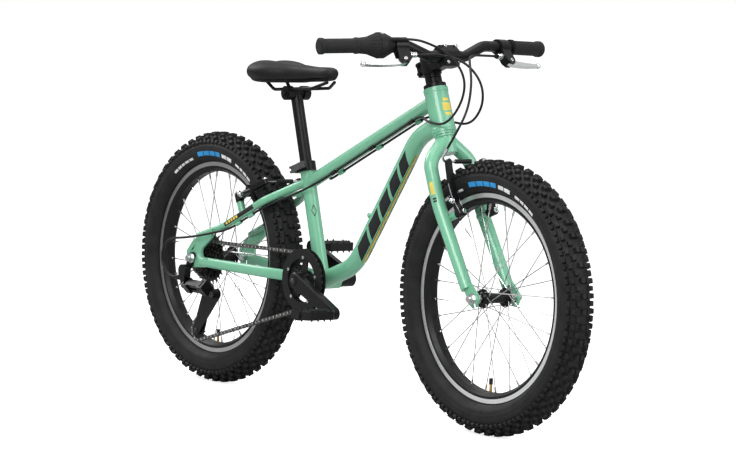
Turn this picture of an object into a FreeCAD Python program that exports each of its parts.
import FreeCAD, Part
import math
import os

import Sketcher

# A child's mountain bicycle with 20 inch wheels and wide knobby tyres.
# Millimetres. X points forward, Y to the rider's left, Z up.
# The origin lies on the ground, midway between the two axles.

Vector = FreeCAD.Vector
Rotation = FreeCAD.Rotation
Placement = FreeCAD.Placement
X_AXIS = Vector(1, 0, 0)
Y_AXIS = Vector(0, 1, 0)
Z_AXIS = Vector(0, 0, 1)
ORIGIN = Vector(0, 0, 0)
LEFT = 1
RIGHT = -1
FULL_TURN = 360.0
HEXAGON = 6
OCTAGON = 8
SETTLED = 1e-10

doc = FreeCAD.newDocument("Bicycle")
sheet = doc.addObject("Spreadsheet::Sheet", "Sizes")
subparts = []
rows_used = 0


# Driving dimensions

def add_sizes(sizes):
    """Writes named numbers to the sheet; a triple becomes three cells ending in x, y and z."""
    global rows_used
    cells = {}
    for name, value in sizes.items():
        if isinstance(value, tuple):
            cells.update({name + "_" + axis: part for axis, part in zip("xyz", value)})
        else:
            cells[name] = value
    for name, value in cells.items():
        rows_used += 1
        sheet.set("A%d" % rows_used, name)
        sheet.set("B%d" % rows_used, str(value))
        sheet.setAlias("B%d" % rows_used, name)
    sheet.recompute()


class Values:
    """The numbers of the sheet by name."""

    def __getattr__(self, name):
        return float(sheet.get(name))


class Size:
    """A length with its number and the cell expression that gives it."""

    def __init__(self, value, text):
        self.value = value
        self.text = text

    def __add__(self, other):
        return Size(self.value + other.value, "(%s + %s)" % (self.text, other.text))

    def __sub__(self, other):
        return Size(self.value - other.value, "(%s - %s)" % (self.text, other.text))

    def __neg__(self):
        return Size(-self.value, "(-%s)" % self.text)

    def __mul__(self, other):
        return Size(self.value * other.value, "(%s * %s)" % (self.text, other.text))

    def half(self):
        return Size(self.value / 2, "(%s / 2)" % self.text)


class Cells:
    """The cells of the sheet by name, for expressions."""

    def __getattr__(self, name):
        return Size(getattr(v, name), "Sizes." + name)


v = Values()
c = Cells()
NONE = Size(0.0, "0")


def spot(name):
    """The point kept in three cells of the sheet."""
    return Vector(getattr(v, name + "_x"), getattr(v, name + "_y"), getattr(v, name + "_z"))


def mirrored(point, side):
    """The point on the left side of the bicycle, or its mirror image on the right."""
    return Vector(point.x, side * point.y, point.z)


# Document objects

def keep(thing, label, placement=None):
    """Makes the object a sub-part of the bicycle under its own name."""
    thing.Label = label
    if placement is not None:
        thing.Placement = placement
    subparts.append(thing)
    return thing


def bind(thing, **sizes):
    """Ties properties of an object to cells."""
    for name, size in sizes.items():
        setattr(thing, name, size.value)
        thing.setExpression(name, size.text)
    return thing


def shaped(name, shape, placement=None):
    """An object whose form is worked out in code."""
    thing = doc.addObject("Part::Feature", name)
    thing.Shape = shape
    if placement is not None:
        thing.Placement = placement
    return thing


def cylinder(name, radius, height, placement=None):
    thing = bind(doc.addObject("Part::Cylinder", name), Radius=radius, Height=height)
    if placement is not None:
        thing.Placement = placement
    return thing


def hexagon(name, circumradius, height, placement=None):
    thing = doc.addObject("Part::Prism", name)
    thing.Polygon = 6
    bind(thing, Circumradius=circumradius, Height=height)
    if placement is not None:
        thing.Placement = placement
    return thing


def fused(name, things):
    thing = doc.addObject("Part::MultiFuse", name)
    thing.Shapes = things
    return thing


def cut(name, base, tool):
    thing = doc.addObject("Part::Cut", name)
    thing.Base = base
    thing.Tool = tool
    return thing


def grouped(name, things):
    """Several solids that make one sub-part."""
    thing = doc.addObject("Part::Compound", name)
    thing.Links = things
    return thing


# Sketches

def new_body(name, placement=None):
    body = doc.addObject("PartDesign::Body", name)
    if placement is not None:
        body.Placement = placement
    return body


def new_sketch(body, role, name):
    plane = next(item for item in body.Origin.OriginFeatures if item.Role == role)
    sketch = body.newObject("Sketcher::SketchObject", name)
    sketch.AttachmentSupport = [(plane, "")]
    sketch.MapMode = "FlatFace"
    return sketch


def fix_point(sketch, geometry, end, x, y):
    """Ties a point of the sketch to cells, or to an axis where a coordinate is zero."""
    for kind, size, axis in (("DistanceX", x, -2), ("DistanceY", y, -1)):
        if size.value == 0:
            sketch.addConstraint(Sketcher.Constraint("PointOnObject", geometry, end, axis))
        else:
            index = sketch.addConstraint(Sketcher.Constraint(kind, -1, 1, geometry, end, size.value))
            sketch.setExpression("Constraints[%d]" % index, size.text)


def arc_between(start, end, radius):
    """The arc under a half circle from start to end, turning left where the radius is positive."""
    chord = end - start
    middle = start + chord * 0.5
    rise = math.sqrt(radius ** 2 - (chord.Length / 2) ** 2)
    left = Vector(-chord.y, chord.x, 0).normalize()
    centre = middle + left * math.copysign(rise, radius)
    first, last = (start, end) if radius > 0 else (end, start)
    angles = [math.atan2(point.y - centre.y, point.x - centre.x) for point in (first, last)]
    return Part.ArcOfCircle(Part.Circle(centre, Z_AXIS, abs(radius)), angles[0], angles[1])


def draw_outline(sketch, corners):
    """A closed outline. A corner is (x, y), or (x, y, r) where an arc runs on to the next corner."""
    base = sketch.GeometryCount
    count = len(corners)
    for index, corner in enumerate(corners):
        following = corners[(index + 1) % count]
        start = Vector(corner[0].value, corner[1].value, 0)
        end = Vector(following[0].value, following[1].value, 0)
        if len(corner) == 2:
            sketch.addGeometry(Part.LineSegment(start, end), False)
        else:
            sketch.addGeometry(arc_between(start, end, corner[2].value), False)
    forward = [len(corner) == 2 or corner[2].value > 0 for corner in corners]
    for index, corner in enumerate(corners):
        geometry = base + index
        beyond = (index + 1) % count
        start_end = 1 if forward[index] else 2
        last_end = 2 if forward[index] else 1
        next_start = 1 if forward[beyond] else 2
        link = Sketcher.Constraint("Coincident", geometry, last_end, base + beyond, next_start)
        sketch.addConstraint(link)
        fix_point(sketch, geometry, start_end, corner[0], corner[1])
        if len(corner) == 3:
            radius = corner[2] if forward[index] else -corner[2]
            number = sketch.addConstraint(Sketcher.Constraint("Radius", geometry, radius.value))
            sketch.setExpression("Constraints[%d]" % number, radius.text)


def draw_circle(sketch, x, y, radius):
    circle = Part.Circle(Vector(x.value, y.value, 0), Z_AXIS, radius.value)
    geometry = sketch.addGeometry(circle, False)
    fix_point(sketch, geometry, 3, x, y)
    number = sketch.addConstraint(Sketcher.Constraint("Radius", geometry, radius.value))
    sketch.setExpression("Constraints[%d]" % number, radius.text)


def turned(name, corners, placement=None):
    """A body of revolution about its own Z. The corners are (radius, height)."""
    body = new_body(name, placement)
    sketch = new_sketch(body, "XZ_Plane", name + "_profile")
    draw_outline(sketch, corners)
    feature = body.newObject("PartDesign::Revolution", name + "_turned")
    feature.Profile = sketch
    feature.ReferenceAxis = (sketch, ["V_Axis"])
    feature.Angle = FULL_TURN
    return body


def plate(name, role, corners, thickness, holes=(), placement=None, windows=()):
    """A flat piece, thick to both sides of its plane. Holes are (x, y, radius), windows are outlines."""
    body = new_body(name, placement)
    sketch = new_sketch(body, role, name + "_outline")
    for outline in (corners, *windows):
        draw_outline(sketch, outline)
    for x, y, radius in holes:
        draw_circle(sketch, x, y, radius)
    pad = body.newObject("PartDesign::Pad", name + "_pad")
    pad.Profile = sketch
    pad.SideType = "Symmetric"
    bind(pad, Length=thickness)
    return body


# Bent tubes

def bent_path(points, radii):
    """A wire of straight runs joined by tangent arcs at the inner points."""
    edges = []
    start = points[0]
    for before, corner, after, radius in zip(points, points[1:], points[2:], radii):
        inward = (before - corner).normalize()
        onward = (after - corner).normalize()
        half_turn = (math.pi - inward.getAngle(onward)) / 2
        reach = radius * math.tan(half_turn)
        first = corner + inward * reach
        last = corner + onward * reach
        centre_line = (inward + onward).normalize()
        middle = corner + centre_line * (radius / math.cos(half_turn) - radius)
        edges.append(Part.LineSegment(start, first).toShape())
        edges.append(Part.Arc(first, middle, last).toShape())
        start = last
    edges.append(Part.LineSegment(start, points[-1]).toShape())
    return Part.Wire(edges)


def path_ends(path):
    """The first and last points of a path with its directions there."""
    first = path.OrderedEdges[0]
    last = path.OrderedEdges[-1]
    return (first.valueAt(first.FirstParameter), first.tangentAt(first.FirstParameter),
            last.valueAt(last.LastParameter), last.tangentAt(last.LastParameter))


def ring(centre, direction, radius):
    return Part.Wire(Part.makeCircle(radius, centre, direction))


def tube(path, first_radius, last_radius=None):
    """A round bar along a path, with a steady taper where two radii are given."""
    start, direction, end, last_direction = path_ends(path)
    shell = Part.BRepOffsetAPI.MakePipeShell(path)
    shell.add(ring(start, direction, first_radius))
    if last_radius is not None:
        shell.add(ring(end, last_direction, last_radius))
    shell.build()
    shell.makeSolid()
    return shell.shape()


def rod(start, end, radius):
    """A round bar between two points."""
    return Part.makeCylinder(radius, (end - start).Length, start, end - start)


def pointing(base, direction, spin=0.0):
    """A placement whose Z runs along a direction."""
    turn = Rotation(Z_AXIS, direction)
    return Placement(base, turn.multiply(Rotation(Z_AXIS, spin)))


# Main lines of the bicycle

MAIN_SIZES = {
    "overrun": 4,
    "running_fit": 0.05,
    "air_gap": 0.4,
    "wheelbase": 910,
    "axle_height": 272,
    "head_angle": 69,
    "fork_length": 353.6,
    "fork_rake": 45.6,
    "seat_angle": 73.7,
    "bracket_ahead": 363,
    "bracket_drop": 15,
    "steerer_radius": 14.3,
    "seatpost_radius": 12.7,
    "axle_radius": 5,
    "spindle_radius": 8.5,
}
add_sizes(MAIN_SIZES)

REAR_AXLE = Vector(-v.wheelbase / 2, 0, v.axle_height)
FRONT_AXLE = Vector(v.wheelbase / 2, 0, v.axle_height)
BRACKET = REAR_AXLE + Vector(v.bracket_ahead, 0, -v.bracket_drop)
STEER_TURN = Rotation(Y_AXIS, v.head_angle - 90)
HEAD_BOTTOM = FRONT_AXLE + STEER_TURN.multVec(Vector(-v.fork_rake, 0, v.fork_length))
STEER = Placement(HEAD_BOTTOM, STEER_TURN)
SEAT = Placement(BRACKET, Rotation(Y_AXIS, v.seat_angle - 90))
# Turned pieces on an axle: their Z runs to the left of the bicycle.
ACROSS = Rotation(X_AXIS, -90)
AT_REAR_AXLE = Placement(REAR_AXLE, ACROSS)
AT_FRONT_AXLE = Placement(FRONT_AXLE, ACROSS)
AT_BRACKET = Placement(BRACKET, ACROSS)


# Frame

FRAME_SIZES = {
    "head_length": 91.6,
    "head_radius": 24,
    "head_bore": 17,
    "head_collar_radius": 25,
    "head_collar_length": 8,
    "head_collar_slope": 2,
    "cup_radius": 23,
    "cup_height": 5,
    "cup_insert": 7,
    "seat_tube_length": 250,
    "seat_tube_radius": 15,
    "seat_tube_floor": 40,
    "bracket_radius": 20,
    "bracket_bore": 16.5,
    "bracket_width": 73,
    "top_tube_radius": 14,
    "top_tube_at_head": 70,
    "top_tube_at_seat": 204.7,
    "down_tube_radius": 18,
    "down_tube_at_head": 22,
    "down_tube_high_bend": (-80.6, 0, 15.1),
    "down_tube_high_curve": 100,
    "down_tube_low_bend": (107, 0, 38),
    "down_tube_low_curve": 120,
    "down_tube_at_bracket": -3,
}
add_sizes(FRAME_SIZES)


def make_head_tube():
    top = c.head_length
    collar = c.head_collar_length
    slope = c.head_collar_slope
    corners = [(c.head_bore, NONE), (c.head_collar_radius, NONE), (c.head_collar_radius, collar),
               (c.head_radius, collar + slope), (c.head_radius, top - collar - slope),
               (c.head_collar_radius, top - collar), (c.head_collar_radius, top), (c.head_bore, top)]
    return keep(turned("head_tube", corners, STEER), "head_tube")


def make_headset():
    """A cup at each end of the head tube, which the steerer turns in."""
    bore = c.steerer_radius + c.running_fit
    lower = [(bore, -c.cup_height), (c.cup_radius, -c.cup_height), (c.cup_radius, NONE),
             (c.head_bore, NONE), (c.head_bore, c.cup_insert), (bore, c.cup_insert)]
    top = c.head_length
    upper = [(bore, top - c.cup_insert), (c.head_bore, top - c.cup_insert), (c.head_bore, top),
             (c.cup_radius, top), (c.cup_radius, top + c.cup_height), (bore, top + c.cup_height)]
    cups = [turned("lower_cup", lower, STEER), turned("upper_cup", upper, STEER)]
    return keep(grouped("headset", cups), "headset")


def head_filler():
    """The full round of the head tube, which the tubes that meet it are shaped to."""
    collar = v.head_collar_length
    slope = v.head_collar_slope
    wide = v.head_collar_radius
    top = v.head_length
    lower = Part.makeCylinder(wide, collar)
    lower_slope = Part.makeCone(wide, v.head_radius, slope, Z_AXIS * collar)
    upper_slope = Part.makeCone(v.head_radius, wide, slope, Z_AXIS * (top - collar - slope))
    upper = Part.makeCylinder(wide, collar, Z_AXIS * (top - collar))
    round_bar = Part.makeCylinder(v.head_radius, top)
    return round_bar.fuse([lower, lower_slope, upper_slope, upper]).transformed(STEER.toMatrix())


def seat_filler():
    return Part.makeCylinder(v.seat_tube_radius, v.seat_tube_length).transformed(SEAT.toMatrix())


def bracket_filler():
    base = BRACKET - Y_AXIS * (v.bracket_width / 2)
    return Part.makeCylinder(v.bracket_radius, v.bracket_width, base, Y_AXIS)


def make_seat_tube():
    bore = c.seatpost_radius + c.running_fit
    corners = [(NONE, NONE), (c.seat_tube_radius, NONE), (c.seat_tube_radius, c.seat_tube_length),
               (bore, c.seat_tube_length), (bore, c.seat_tube_floor), (NONE, c.seat_tube_floor)]
    blank = turned("seat_tube_blank", corners, SEAT)
    mitre = cylinder("seat_tube_mitre", c.bracket_radius, c.bracket_width,
                     Placement(BRACKET - Y_AXIS * (v.bracket_width / 2), ACROSS))
    return keep(cut("seat_tube", blank, mitre), "seat_tube")


def make_bracket_shell():
    half = c.bracket_width.half()
    corners = [(c.bracket_bore, -half), (c.bracket_radius, -half),
               (c.bracket_radius, half), (c.bracket_bore, half)]
    return keep(turned("bottom_bracket_shell", corners, AT_BRACKET), "bottom_bracket_shell")


def down_tube_path():
    start = STEER.multVec(Vector(0, 0, v.down_tube_at_head))
    high = STEER.multVec(spot("down_tube_high_bend"))
    low = BRACKET + spot("down_tube_low_bend")
    end = BRACKET + Vector(0, 0, v.down_tube_at_bracket)
    return bent_path([start, high, low, end], [v.down_tube_high_curve, v.down_tube_low_curve])


def make_down_tube():
    bar = tube(down_tube_path(), v.down_tube_radius)
    shape = largest(bar.cut(head_filler()).cut(bracket_filler()).cut(seat_filler()))
    return keep(shaped("down_tube", shape), "down_tube")


def largest(shape):
    """The main solid that a cut leaves."""
    return max(shape.Solids, key=lambda solid: solid.Volume)


# Top tube with its cable guides

TOP_TUBE_SIZES = {
    "housing_radius": 2.5,
    "guide_radius": 4.6,
    "guide_length": 16,
    "guide_sink": 0.8,
    "guide_angle": 35,
    "guide_start_share": 0.18,
    "guide_step_share": 0.30,
    "guide_count": 3,
}
add_sizes(TOP_TUBE_SIZES)


def top_tube_ends():
    front = STEER.multVec(Vector(0, 0, v.top_tube_at_head))
    rear = SEAT.multVec(Vector(0, 0, v.top_tube_at_seat))
    return front, rear


def guide_offset(side):
    """From the axis of the top tube to the line of a cable under it."""
    front, rear = top_tube_ends()
    along = (rear - front).normalize()
    down = along.cross(Y_AXIS)
    if down.z > 0:
        down = -down
    reach = v.top_tube_radius + v.guide_radius - v.guide_sink
    angle = math.radians(v.guide_angle)
    return down * (reach * math.cos(angle)) + Y_AXIS * (side * reach * math.sin(angle))


def guide_centres(side):
    front, rear = top_tube_ends()
    shares = [v.guide_start_share + v.guide_step_share * step for step in range(int(v.guide_count))]
    return [front + (rear - front) * share + guide_offset(side) for share in shares]


def make_top_tube():
    front, rear = top_tube_ends()
    along = (rear - front).normalize()
    bar = largest(rod(front, rear, v.top_tube_radius).cut(head_filler()).cut(seat_filler()))
    for side in (LEFT, RIGHT):
        for centre in guide_centres(side):
            start = centre - along * (v.guide_length / 2)
            end = centre + along * (v.guide_length / 2)
            bore_start = start - along * v.overrun
            bore_end = end + along * v.overrun
            bar = bar.fuse(rod(start, end, v.guide_radius))
            bar = bar.cut(rod(bore_start, bore_end, v.housing_radius))
    return keep(shaped("top_tube", bar), "top_tube")


# Rear triangle

REAR_TRIANGLE_SIZES = {
    "dropout_inner": 67.5,
    "dropout_thickness": 6,
    "chain_stay_height": 24,
    "chain_stay_width": 14,
    "chain_stay_tip_height": 21,
    "chain_stay_tip_width": 13,
    "chain_stay_front": (-10, 23, 0),
    "chain_stay_first_bend": (-70, 31, 2),
    "chain_stay_second_bend": (-136, 50, 4),
    "chain_stay_rear": (26, 70.5, -6),
    "chain_stay_curve": 200,
    "seat_stay_front_radius": 9,
    "seat_stay_rear_radius": 7,
    "seat_stay_rear": (12, 70.5, 47.5),
    "seat_stay_low_bend": (86, 57, 74),
    "seat_stay_low_curve": 150,
    "seat_stay_high_bend": (215, 47, 140),
    "seat_stay_high_curve": 100,
    "seat_stay_at_seat": (0, 8, 207),
    "bridge_radius": 6,
    "bridge_share": 0.33,
    "brake_line_angle": 24,
    "brake_along": 162,
    "brake_out": 69,
    "brake_pivot_half_width": 40,
    "stay_guide_rear_share": 0.66,
    "stay_guide_front_share": 0.33,
    "stay_leave_share": 0.92,
    "boss_radius": 8,
    "boss_length": 30,
    "boss_pin_radius": 4,
    "boss_pin_length": 22,
}
add_sizes(REAR_TRIANGLE_SIZES)


def oval(centre, direction, height, width):
    """An upright oval across a direction."""
    side = direction.cross(Z_AXIS).normalize()
    upright = side.cross(direction)
    curve = Part.Ellipse(centre + upright * (height / 2), centre + side * (width / 2), centre)
    return Part.Wire(curve.toShape())


def make_chain_stays():
    stays = []
    for side in (LEFT, RIGHT):
        points = [BRACKET + mirrored(spot("chain_stay_front"), side),
                  BRACKET + mirrored(spot("chain_stay_first_bend"), side),
                  BRACKET + mirrored(spot("chain_stay_second_bend"), side),
                  REAR_AXLE + mirrored(spot("chain_stay_rear"), side)]
        path = bent_path(points, [v.chain_stay_curve, v.chain_stay_curve])
        start, direction, end, last_direction = path_ends(path)
        shell = Part.BRepOffsetAPI.MakePipeShell(path)
        shell.setBiNormalMode(Z_AXIS)
        shell.add(oval(start, direction, v.chain_stay_height, v.chain_stay_width))
        shell.add(oval(end, last_direction, v.chain_stay_tip_height, v.chain_stay_tip_width))
        shell.build()
        shell.makeSolid()
        stay = shell.shape().cut(bracket_filler()).cut(seat_filler())
        stays.append(largest(stay.cut(dropout_blank(side))))
    return keep(shaped("chain_stays", Part.Compound(stays)), "chain_stays")


def rear_brake_frame():
    """Frame of the rear brake: X away from the stays, Z along them towards the seat, Y to the right."""
    slope = math.radians(v.brake_line_angle)
    along = Vector(math.cos(slope), 0, math.sin(slope))
    out = Vector(-math.sin(slope), 0, math.cos(slope))
    base = REAR_AXLE + along * v.brake_along + out * v.brake_out
    return Placement(base, Rotation(out, -Y_AXIS, along, "ZXY"))


def brake_bosses(frame):
    """Round bosses with a pivot pin for a pair of brake arms."""
    bosses = []
    for side in (LEFT, RIGHT):
        pivot = Vector(0, side * v.brake_pivot_half_width, 0)
        boss = rod(pivot - X_AXIS * v.boss_length, pivot, v.boss_radius)
        pin = rod(pivot, pivot + X_AXIS * v.boss_pin_length, v.boss_pin_radius)
        bosses.append(boss.fuse(pin).transformed(frame.toMatrix()))
    return bosses


def seat_stay_points(side):
    return [REAR_AXLE + mirrored(spot("seat_stay_rear"), side),
            REAR_AXLE + mirrored(spot("seat_stay_low_bend"), side),
            REAR_AXLE + mirrored(spot("seat_stay_high_bend"), side),
            SEAT.multVec(mirrored(spot("seat_stay_at_seat"), side))]


def stay_cable_line():
    """The line of the shift cable under the right stay, between its two bends."""
    low, high = seat_stay_points(RIGHT)[1:3]
    along = (low - high).normalize()
    under = (along * along.z - Z_AXIS).normalize()
    radius = (v.seat_stay_front_radius + v.seat_stay_rear_radius) / 2
    offset = under * (radius + v.guide_radius - v.guide_sink)
    return high + offset, high + (low - high) * v.stay_leave_share + offset


def make_seat_stays():
    """Two stays with a bridge over the tyre and the brake bosses, welded to one piece."""
    pieces = []
    for side in (LEFT, RIGHT):
        path = bent_path(seat_stay_points(side), [v.seat_stay_low_curve, v.seat_stay_high_curve])
        pieces.append(tube(path, v.seat_stay_rear_radius, v.seat_stay_front_radius))
    ends = []
    for side in (LEFT, RIGHT):
        bend, front = seat_stay_points(side)[2:]
        ends.append(bend + (front - bend) * v.bridge_share)
    pieces.append(rod(ends[0], ends[1], v.bridge_radius))
    pieces.extend(brake_bosses(rear_brake_frame()))
    whole = pieces[0].fuse(pieces[1:]).cut(seat_filler()).cut(top_tube_filler())
    for side in (LEFT, RIGHT):
        whole = whole.cut(dropout_blank(side))
    first, last = stay_cable_line()
    along = (last - first).normalize()
    for share in (v.stay_guide_front_share, v.stay_guide_rear_share):
        start = first + (last - first) * share
        end = start + along * v.guide_length
        whole = whole.fuse(rod(start, end, v.guide_radius))
        whole = whole.cut(rod(start - along * v.overrun, end + along * v.overrun, v.housing_radius))
    return keep(shaped("seat_stays", largest(whole)), "seat_stays")


def top_tube_filler():
    front, rear = top_tube_ends()
    return rod(front, rear, v.top_tube_radius)


# Dropouts, rear axle and bottom bracket

DROPOUT_SIZES = {
    "slot_depth": 20,
    "dropout_front": 50,
    "dropout_low": 16,
    "dropout_tongue_top": 4,
    "dropout_throat": 33,
    "dropout_throat_height": 24,
    "dropout_throat_curve": 14,
    "dropout_upper_reach": 66,
    "dropout_upper_low": 50,
    "dropout_upper_high": 68,
    "dropout_crown": 40,
    "dropout_back": 24,
    "dropout_back_height": 14,
    "dropout_heel": 12,
    "window_side": 9,
    "window_low": 17,
    "window_high": 30,
    "hanger_thickness": 4,
    "hanger_eye": 13,
    "hanger_shoulder": 5,
    "hanger_flank": 12,
    "hanger_back": 14,
    "hanger_drop": 28,
    "hanger_tip": 9,
    "hanger_bolt_radius": 5,
    "axle_nut_radius": 8.5,
    "axle_nut_height": 8,
    "axle_end": 4,
    "washer_radius": 11,
    "washer_thickness": 1.5,
    "lock_nut_radius": 9,
    "lock_nut_height": 5,
    "bracket_cup_radius": 19,
    "bracket_cup_height": 5,
    "bracket_cup_insert": 18,
}
add_sizes(DROPOUT_SIZES)


def dropout_name(side):
    return "dropout_left" if side == LEFT else "dropout_right"


def dropout_blank(side):
    return doc.getObject(dropout_name(side)).Shape


def make_dropouts():
    """Slotted plates that join the stays, and the bolted hanger on the right."""
    slot = c.axle_radius
    corners = [(slot, -c.slot_depth), (c.dropout_front, -c.dropout_low),
               (c.dropout_front, c.dropout_tongue_top),
               (c.dropout_throat, c.dropout_tongue_top, -c.dropout_throat_curve),
               (c.dropout_throat, c.dropout_throat_height), (c.dropout_upper_reach, c.dropout_upper_low),
               (c.dropout_upper_reach, c.dropout_upper_high), (NONE, c.dropout_crown),
               (-c.dropout_back, c.dropout_back_height), (-c.dropout_back, -c.dropout_heel),
               (-slot, -c.slot_depth), (-slot, NONE, -slot), (NONE, slot, -slot), (slot, NONE)]
    window = [(NONE, c.window_low), (c.window_side, c.window_high), (-c.window_side, c.window_low)]
    plates = []
    for side in (LEFT, RIGHT):
        middle = v.dropout_inner + v.dropout_thickness / 2
        place = Placement(REAR_AXLE + Y_AXIS * (side * middle), Rotation())
        plates.append(plate(dropout_name(side), "XZ_Plane", corners, c.dropout_thickness, (), place,
                            [window]))
    hanger_corners = [(c.hanger_flank, c.hanger_shoulder, c.hanger_eye),
                      (-c.hanger_flank, c.hanger_shoulder),
                      (-c.hanger_back - c.hanger_tip, -c.hanger_drop + c.hanger_tip.half(),
                       c.hanger_tip + c.air_gap),
                      (-c.hanger_back + c.hanger_tip.half(), -c.hanger_drop - c.hanger_tip.half())]
    holes = [(NONE, NONE, c.axle_radius), (-c.hanger_back, -c.hanger_drop, c.hanger_bolt_radius)]
    outside = v.dropout_inner + v.dropout_thickness + v.hanger_thickness / 2
    place = Placement(REAR_AXLE - Y_AXIS * outside, Rotation())
    plates.append(plate("hanger", "XZ_Plane", hanger_corners, c.hanger_thickness, holes, place))
    return keep(grouped("dropouts", plates), "dropouts")


def axle_stack(name, at_axle, seats, lock_nuts, ends):
    """An axle with lock nuts inside its seats, and a washer and a nut outside each of them."""
    rod_body = turned(name + "_rod", [(NONE, -ends[0]), (c.axle_radius, -ends[0]), (c.axle_radius, ends[1]),
                                      (NONE, ends[1])], at_axle)
    pieces = [rod_body]
    for side, seat, lock in zip((RIGHT, LEFT), seats, lock_nuts):
        facing = Rotation() if side == LEFT else Rotation(X_AXIS, 180)
        tag = name + ("_left" if side == LEFT else "_right")
        lock_place = at_axle.multiply(Placement(Z_AXIS * (side * lock[0].value), facing))
        pieces.append(hexagon(tag + "_lock_nut", c.lock_nut_radius, lock[1] - lock[0], lock_place))
        washer_place = at_axle.multiply(Placement(Z_AXIS * (side * seat.value), facing))
        pieces.append(cylinder(tag + "_washer", c.washer_radius, c.washer_thickness, washer_place))
        nut_at = seat + c.washer_thickness
        nut_place = at_axle.multiply(Placement(Z_AXIS * (side * nut_at.value), facing))
        pieces.append(hexagon(tag + "_nut", c.axle_nut_radius, c.axle_nut_height, nut_place))
    return fused(name, pieces)


def make_rear_axle():
    left_seat = c.dropout_inner + c.dropout_thickness
    right_seat = left_seat + c.hanger_thickness
    past = c.washer_thickness + c.axle_nut_height + c.axle_end
    locks = [(c.dropout_inner - c.lock_nut_height, c.dropout_inner),
             (c.rear_hub_left + c.air_gap, c.dropout_inner)]
    stack = axle_stack("rear_axle", AT_REAR_AXLE, (right_seat, left_seat), locks,
                       (right_seat + past, left_seat + past))
    return keep(stack, "rear_axle")


def make_bottom_bracket():
    """Two threaded cups that carry the spindle."""
    bore = c.spindle_radius + c.running_fit
    face = c.bracket_width.half()
    cups = []
    for side, facing in ((LEFT, Rotation()), (RIGHT, Rotation(X_AXIS, 180))):
        corners = [(bore, face - c.bracket_cup_insert), (c.bracket_bore, face - c.bracket_cup_insert),
                   (c.bracket_bore, face), (c.bracket_cup_radius, face),
                   (c.bracket_cup_radius, face + c.bracket_cup_height), (bore, face + c.bracket_cup_height)]
        place = AT_BRACKET.multiply(Placement(ORIGIN, facing))
        cups.append(turned("bracket_cup_left" if side == LEFT else "bracket_cup_right", corners, place))
    return keep(grouped("bottom_bracket", cups), "bottom_bracket")


# Seat clamp, seatpost and saddle

SEAT_SIZES = {
    "collar_radius": 19.5,
    "collar_height": 20,
    "ear_reach": 32,
    "ear_half_width": 9,
    "ear_height": 14,
    "collar_slit": 2,
    "skewer_back": 25,
    "skewer_radius": 2.5,
    "skewer_nut_radius": 6,
    "skewer_nut_height": 6,
    "lever_eye_radius": 4.5,
    "lever_eye_height": 5.6,
    "lever_pin_radius": 2,
    "lever_cam_radius": 8,
    "lever_slot": 6.4,
    "lever_thickness": 13,
    "lever_length": 56,
    "lever_sweep": 13,
    "lever_tip": 6,
    "lever_root": 7,
    "post_bottom": 120,
    "post_top": 396,
    "post_head_height": 399,
    "post_head_radius": 11,
    "post_head_half_width": 13,
    "saddle_bolt_radius": 4,
}
add_sizes(SEAT_SIZES)


def collar_middle():
    return c.seat_tube_length - c.collar_height.half()


def make_seat_clamp():
    """A split collar with rear ears, and the skewer that draws them together."""
    top = c.seat_tube_length
    ring_body = turned("collar_ring", [(c.seat_tube_radius, top - c.collar_height),
                                       (c.collar_radius, top - c.collar_height),
                                       (c.collar_radius, top), (c.seat_tube_radius, top)], SEAT)
    ear_corners = [(-c.ear_reach, -c.ear_half_width),
                   (-c.seat_tube_radius - c.collar_slit, -c.ear_half_width),
                   (-c.seat_tube_radius - c.collar_slit, c.ear_half_width), (-c.ear_reach, c.ear_half_width)]
    middle = SEAT.multiply(Placement(Z_AXIS * collar_middle().value, Rotation()))
    ears = plate("collar_ears", "XY_Plane", ear_corners, c.ear_height, (), middle)
    slit_from = -c.ear_reach - c.overrun
    slit_to = c.collar_slit - c.seat_tube_radius
    slit_half = c.collar_slit.half()
    slit_corners = [(slit_from, -slit_half), (slit_to, -slit_half), (slit_to, slit_half),
                    (slit_from, slit_half)]
    slit = plate("collar_slit_cut", "XY_Plane", slit_corners, c.collar_height + c.overrun, (), middle)
    bore = cylinder("skewer_bore", c.skewer_radius, c.ear_reach + c.ear_reach,
                    middle.multiply(Placement(Vector(-v.skewer_back, -v.ear_reach, 0), ACROSS)))
    shell = cut("collar_split", fused("collar_blank", [ring_body, ears]), fused("collar_cuts", [slit, bore]))
    return keep(grouped("seat_clamp", [shell, skewer(middle)]), "seat_clamp")


def skewer_eye_offset():
    return c.ear_half_width + c.air_gap + c.lever_cam_radius


def skewer(middle):
    eye_at = skewer_eye_offset().value
    shaft = cylinder("skewer_shaft", c.skewer_radius, skewer_eye_offset() + c.ear_half_width,
                     middle.multiply(Placement(Vector(-v.skewer_back, -eye_at, 0), ACROSS)))
    cap = cylinder("skewer_cap", c.skewer_nut_radius, c.skewer_nut_height,
                   middle.multiply(Placement(Vector(-v.skewer_back, v.ear_half_width, 0), ACROSS)))
    eye_place = middle.multiply(Placement(Vector(-v.skewer_back, -eye_at, -v.lever_eye_height / 2),
                                          Rotation()))
    eye = cylinder("skewer_eye", c.lever_eye_radius, c.lever_eye_height, eye_place)
    hole_place = eye_place.multiply(Placement(Z_AXIS * -v.overrun, Rotation()))
    hole = cylinder("skewer_eye_hole", c.lever_pin_radius + c.running_fit,
                    c.lever_eye_height + c.overrun + c.overrun, hole_place)
    return cut("skewer", fused("skewer_blank", [shaft, cap, eye]), hole)


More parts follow.
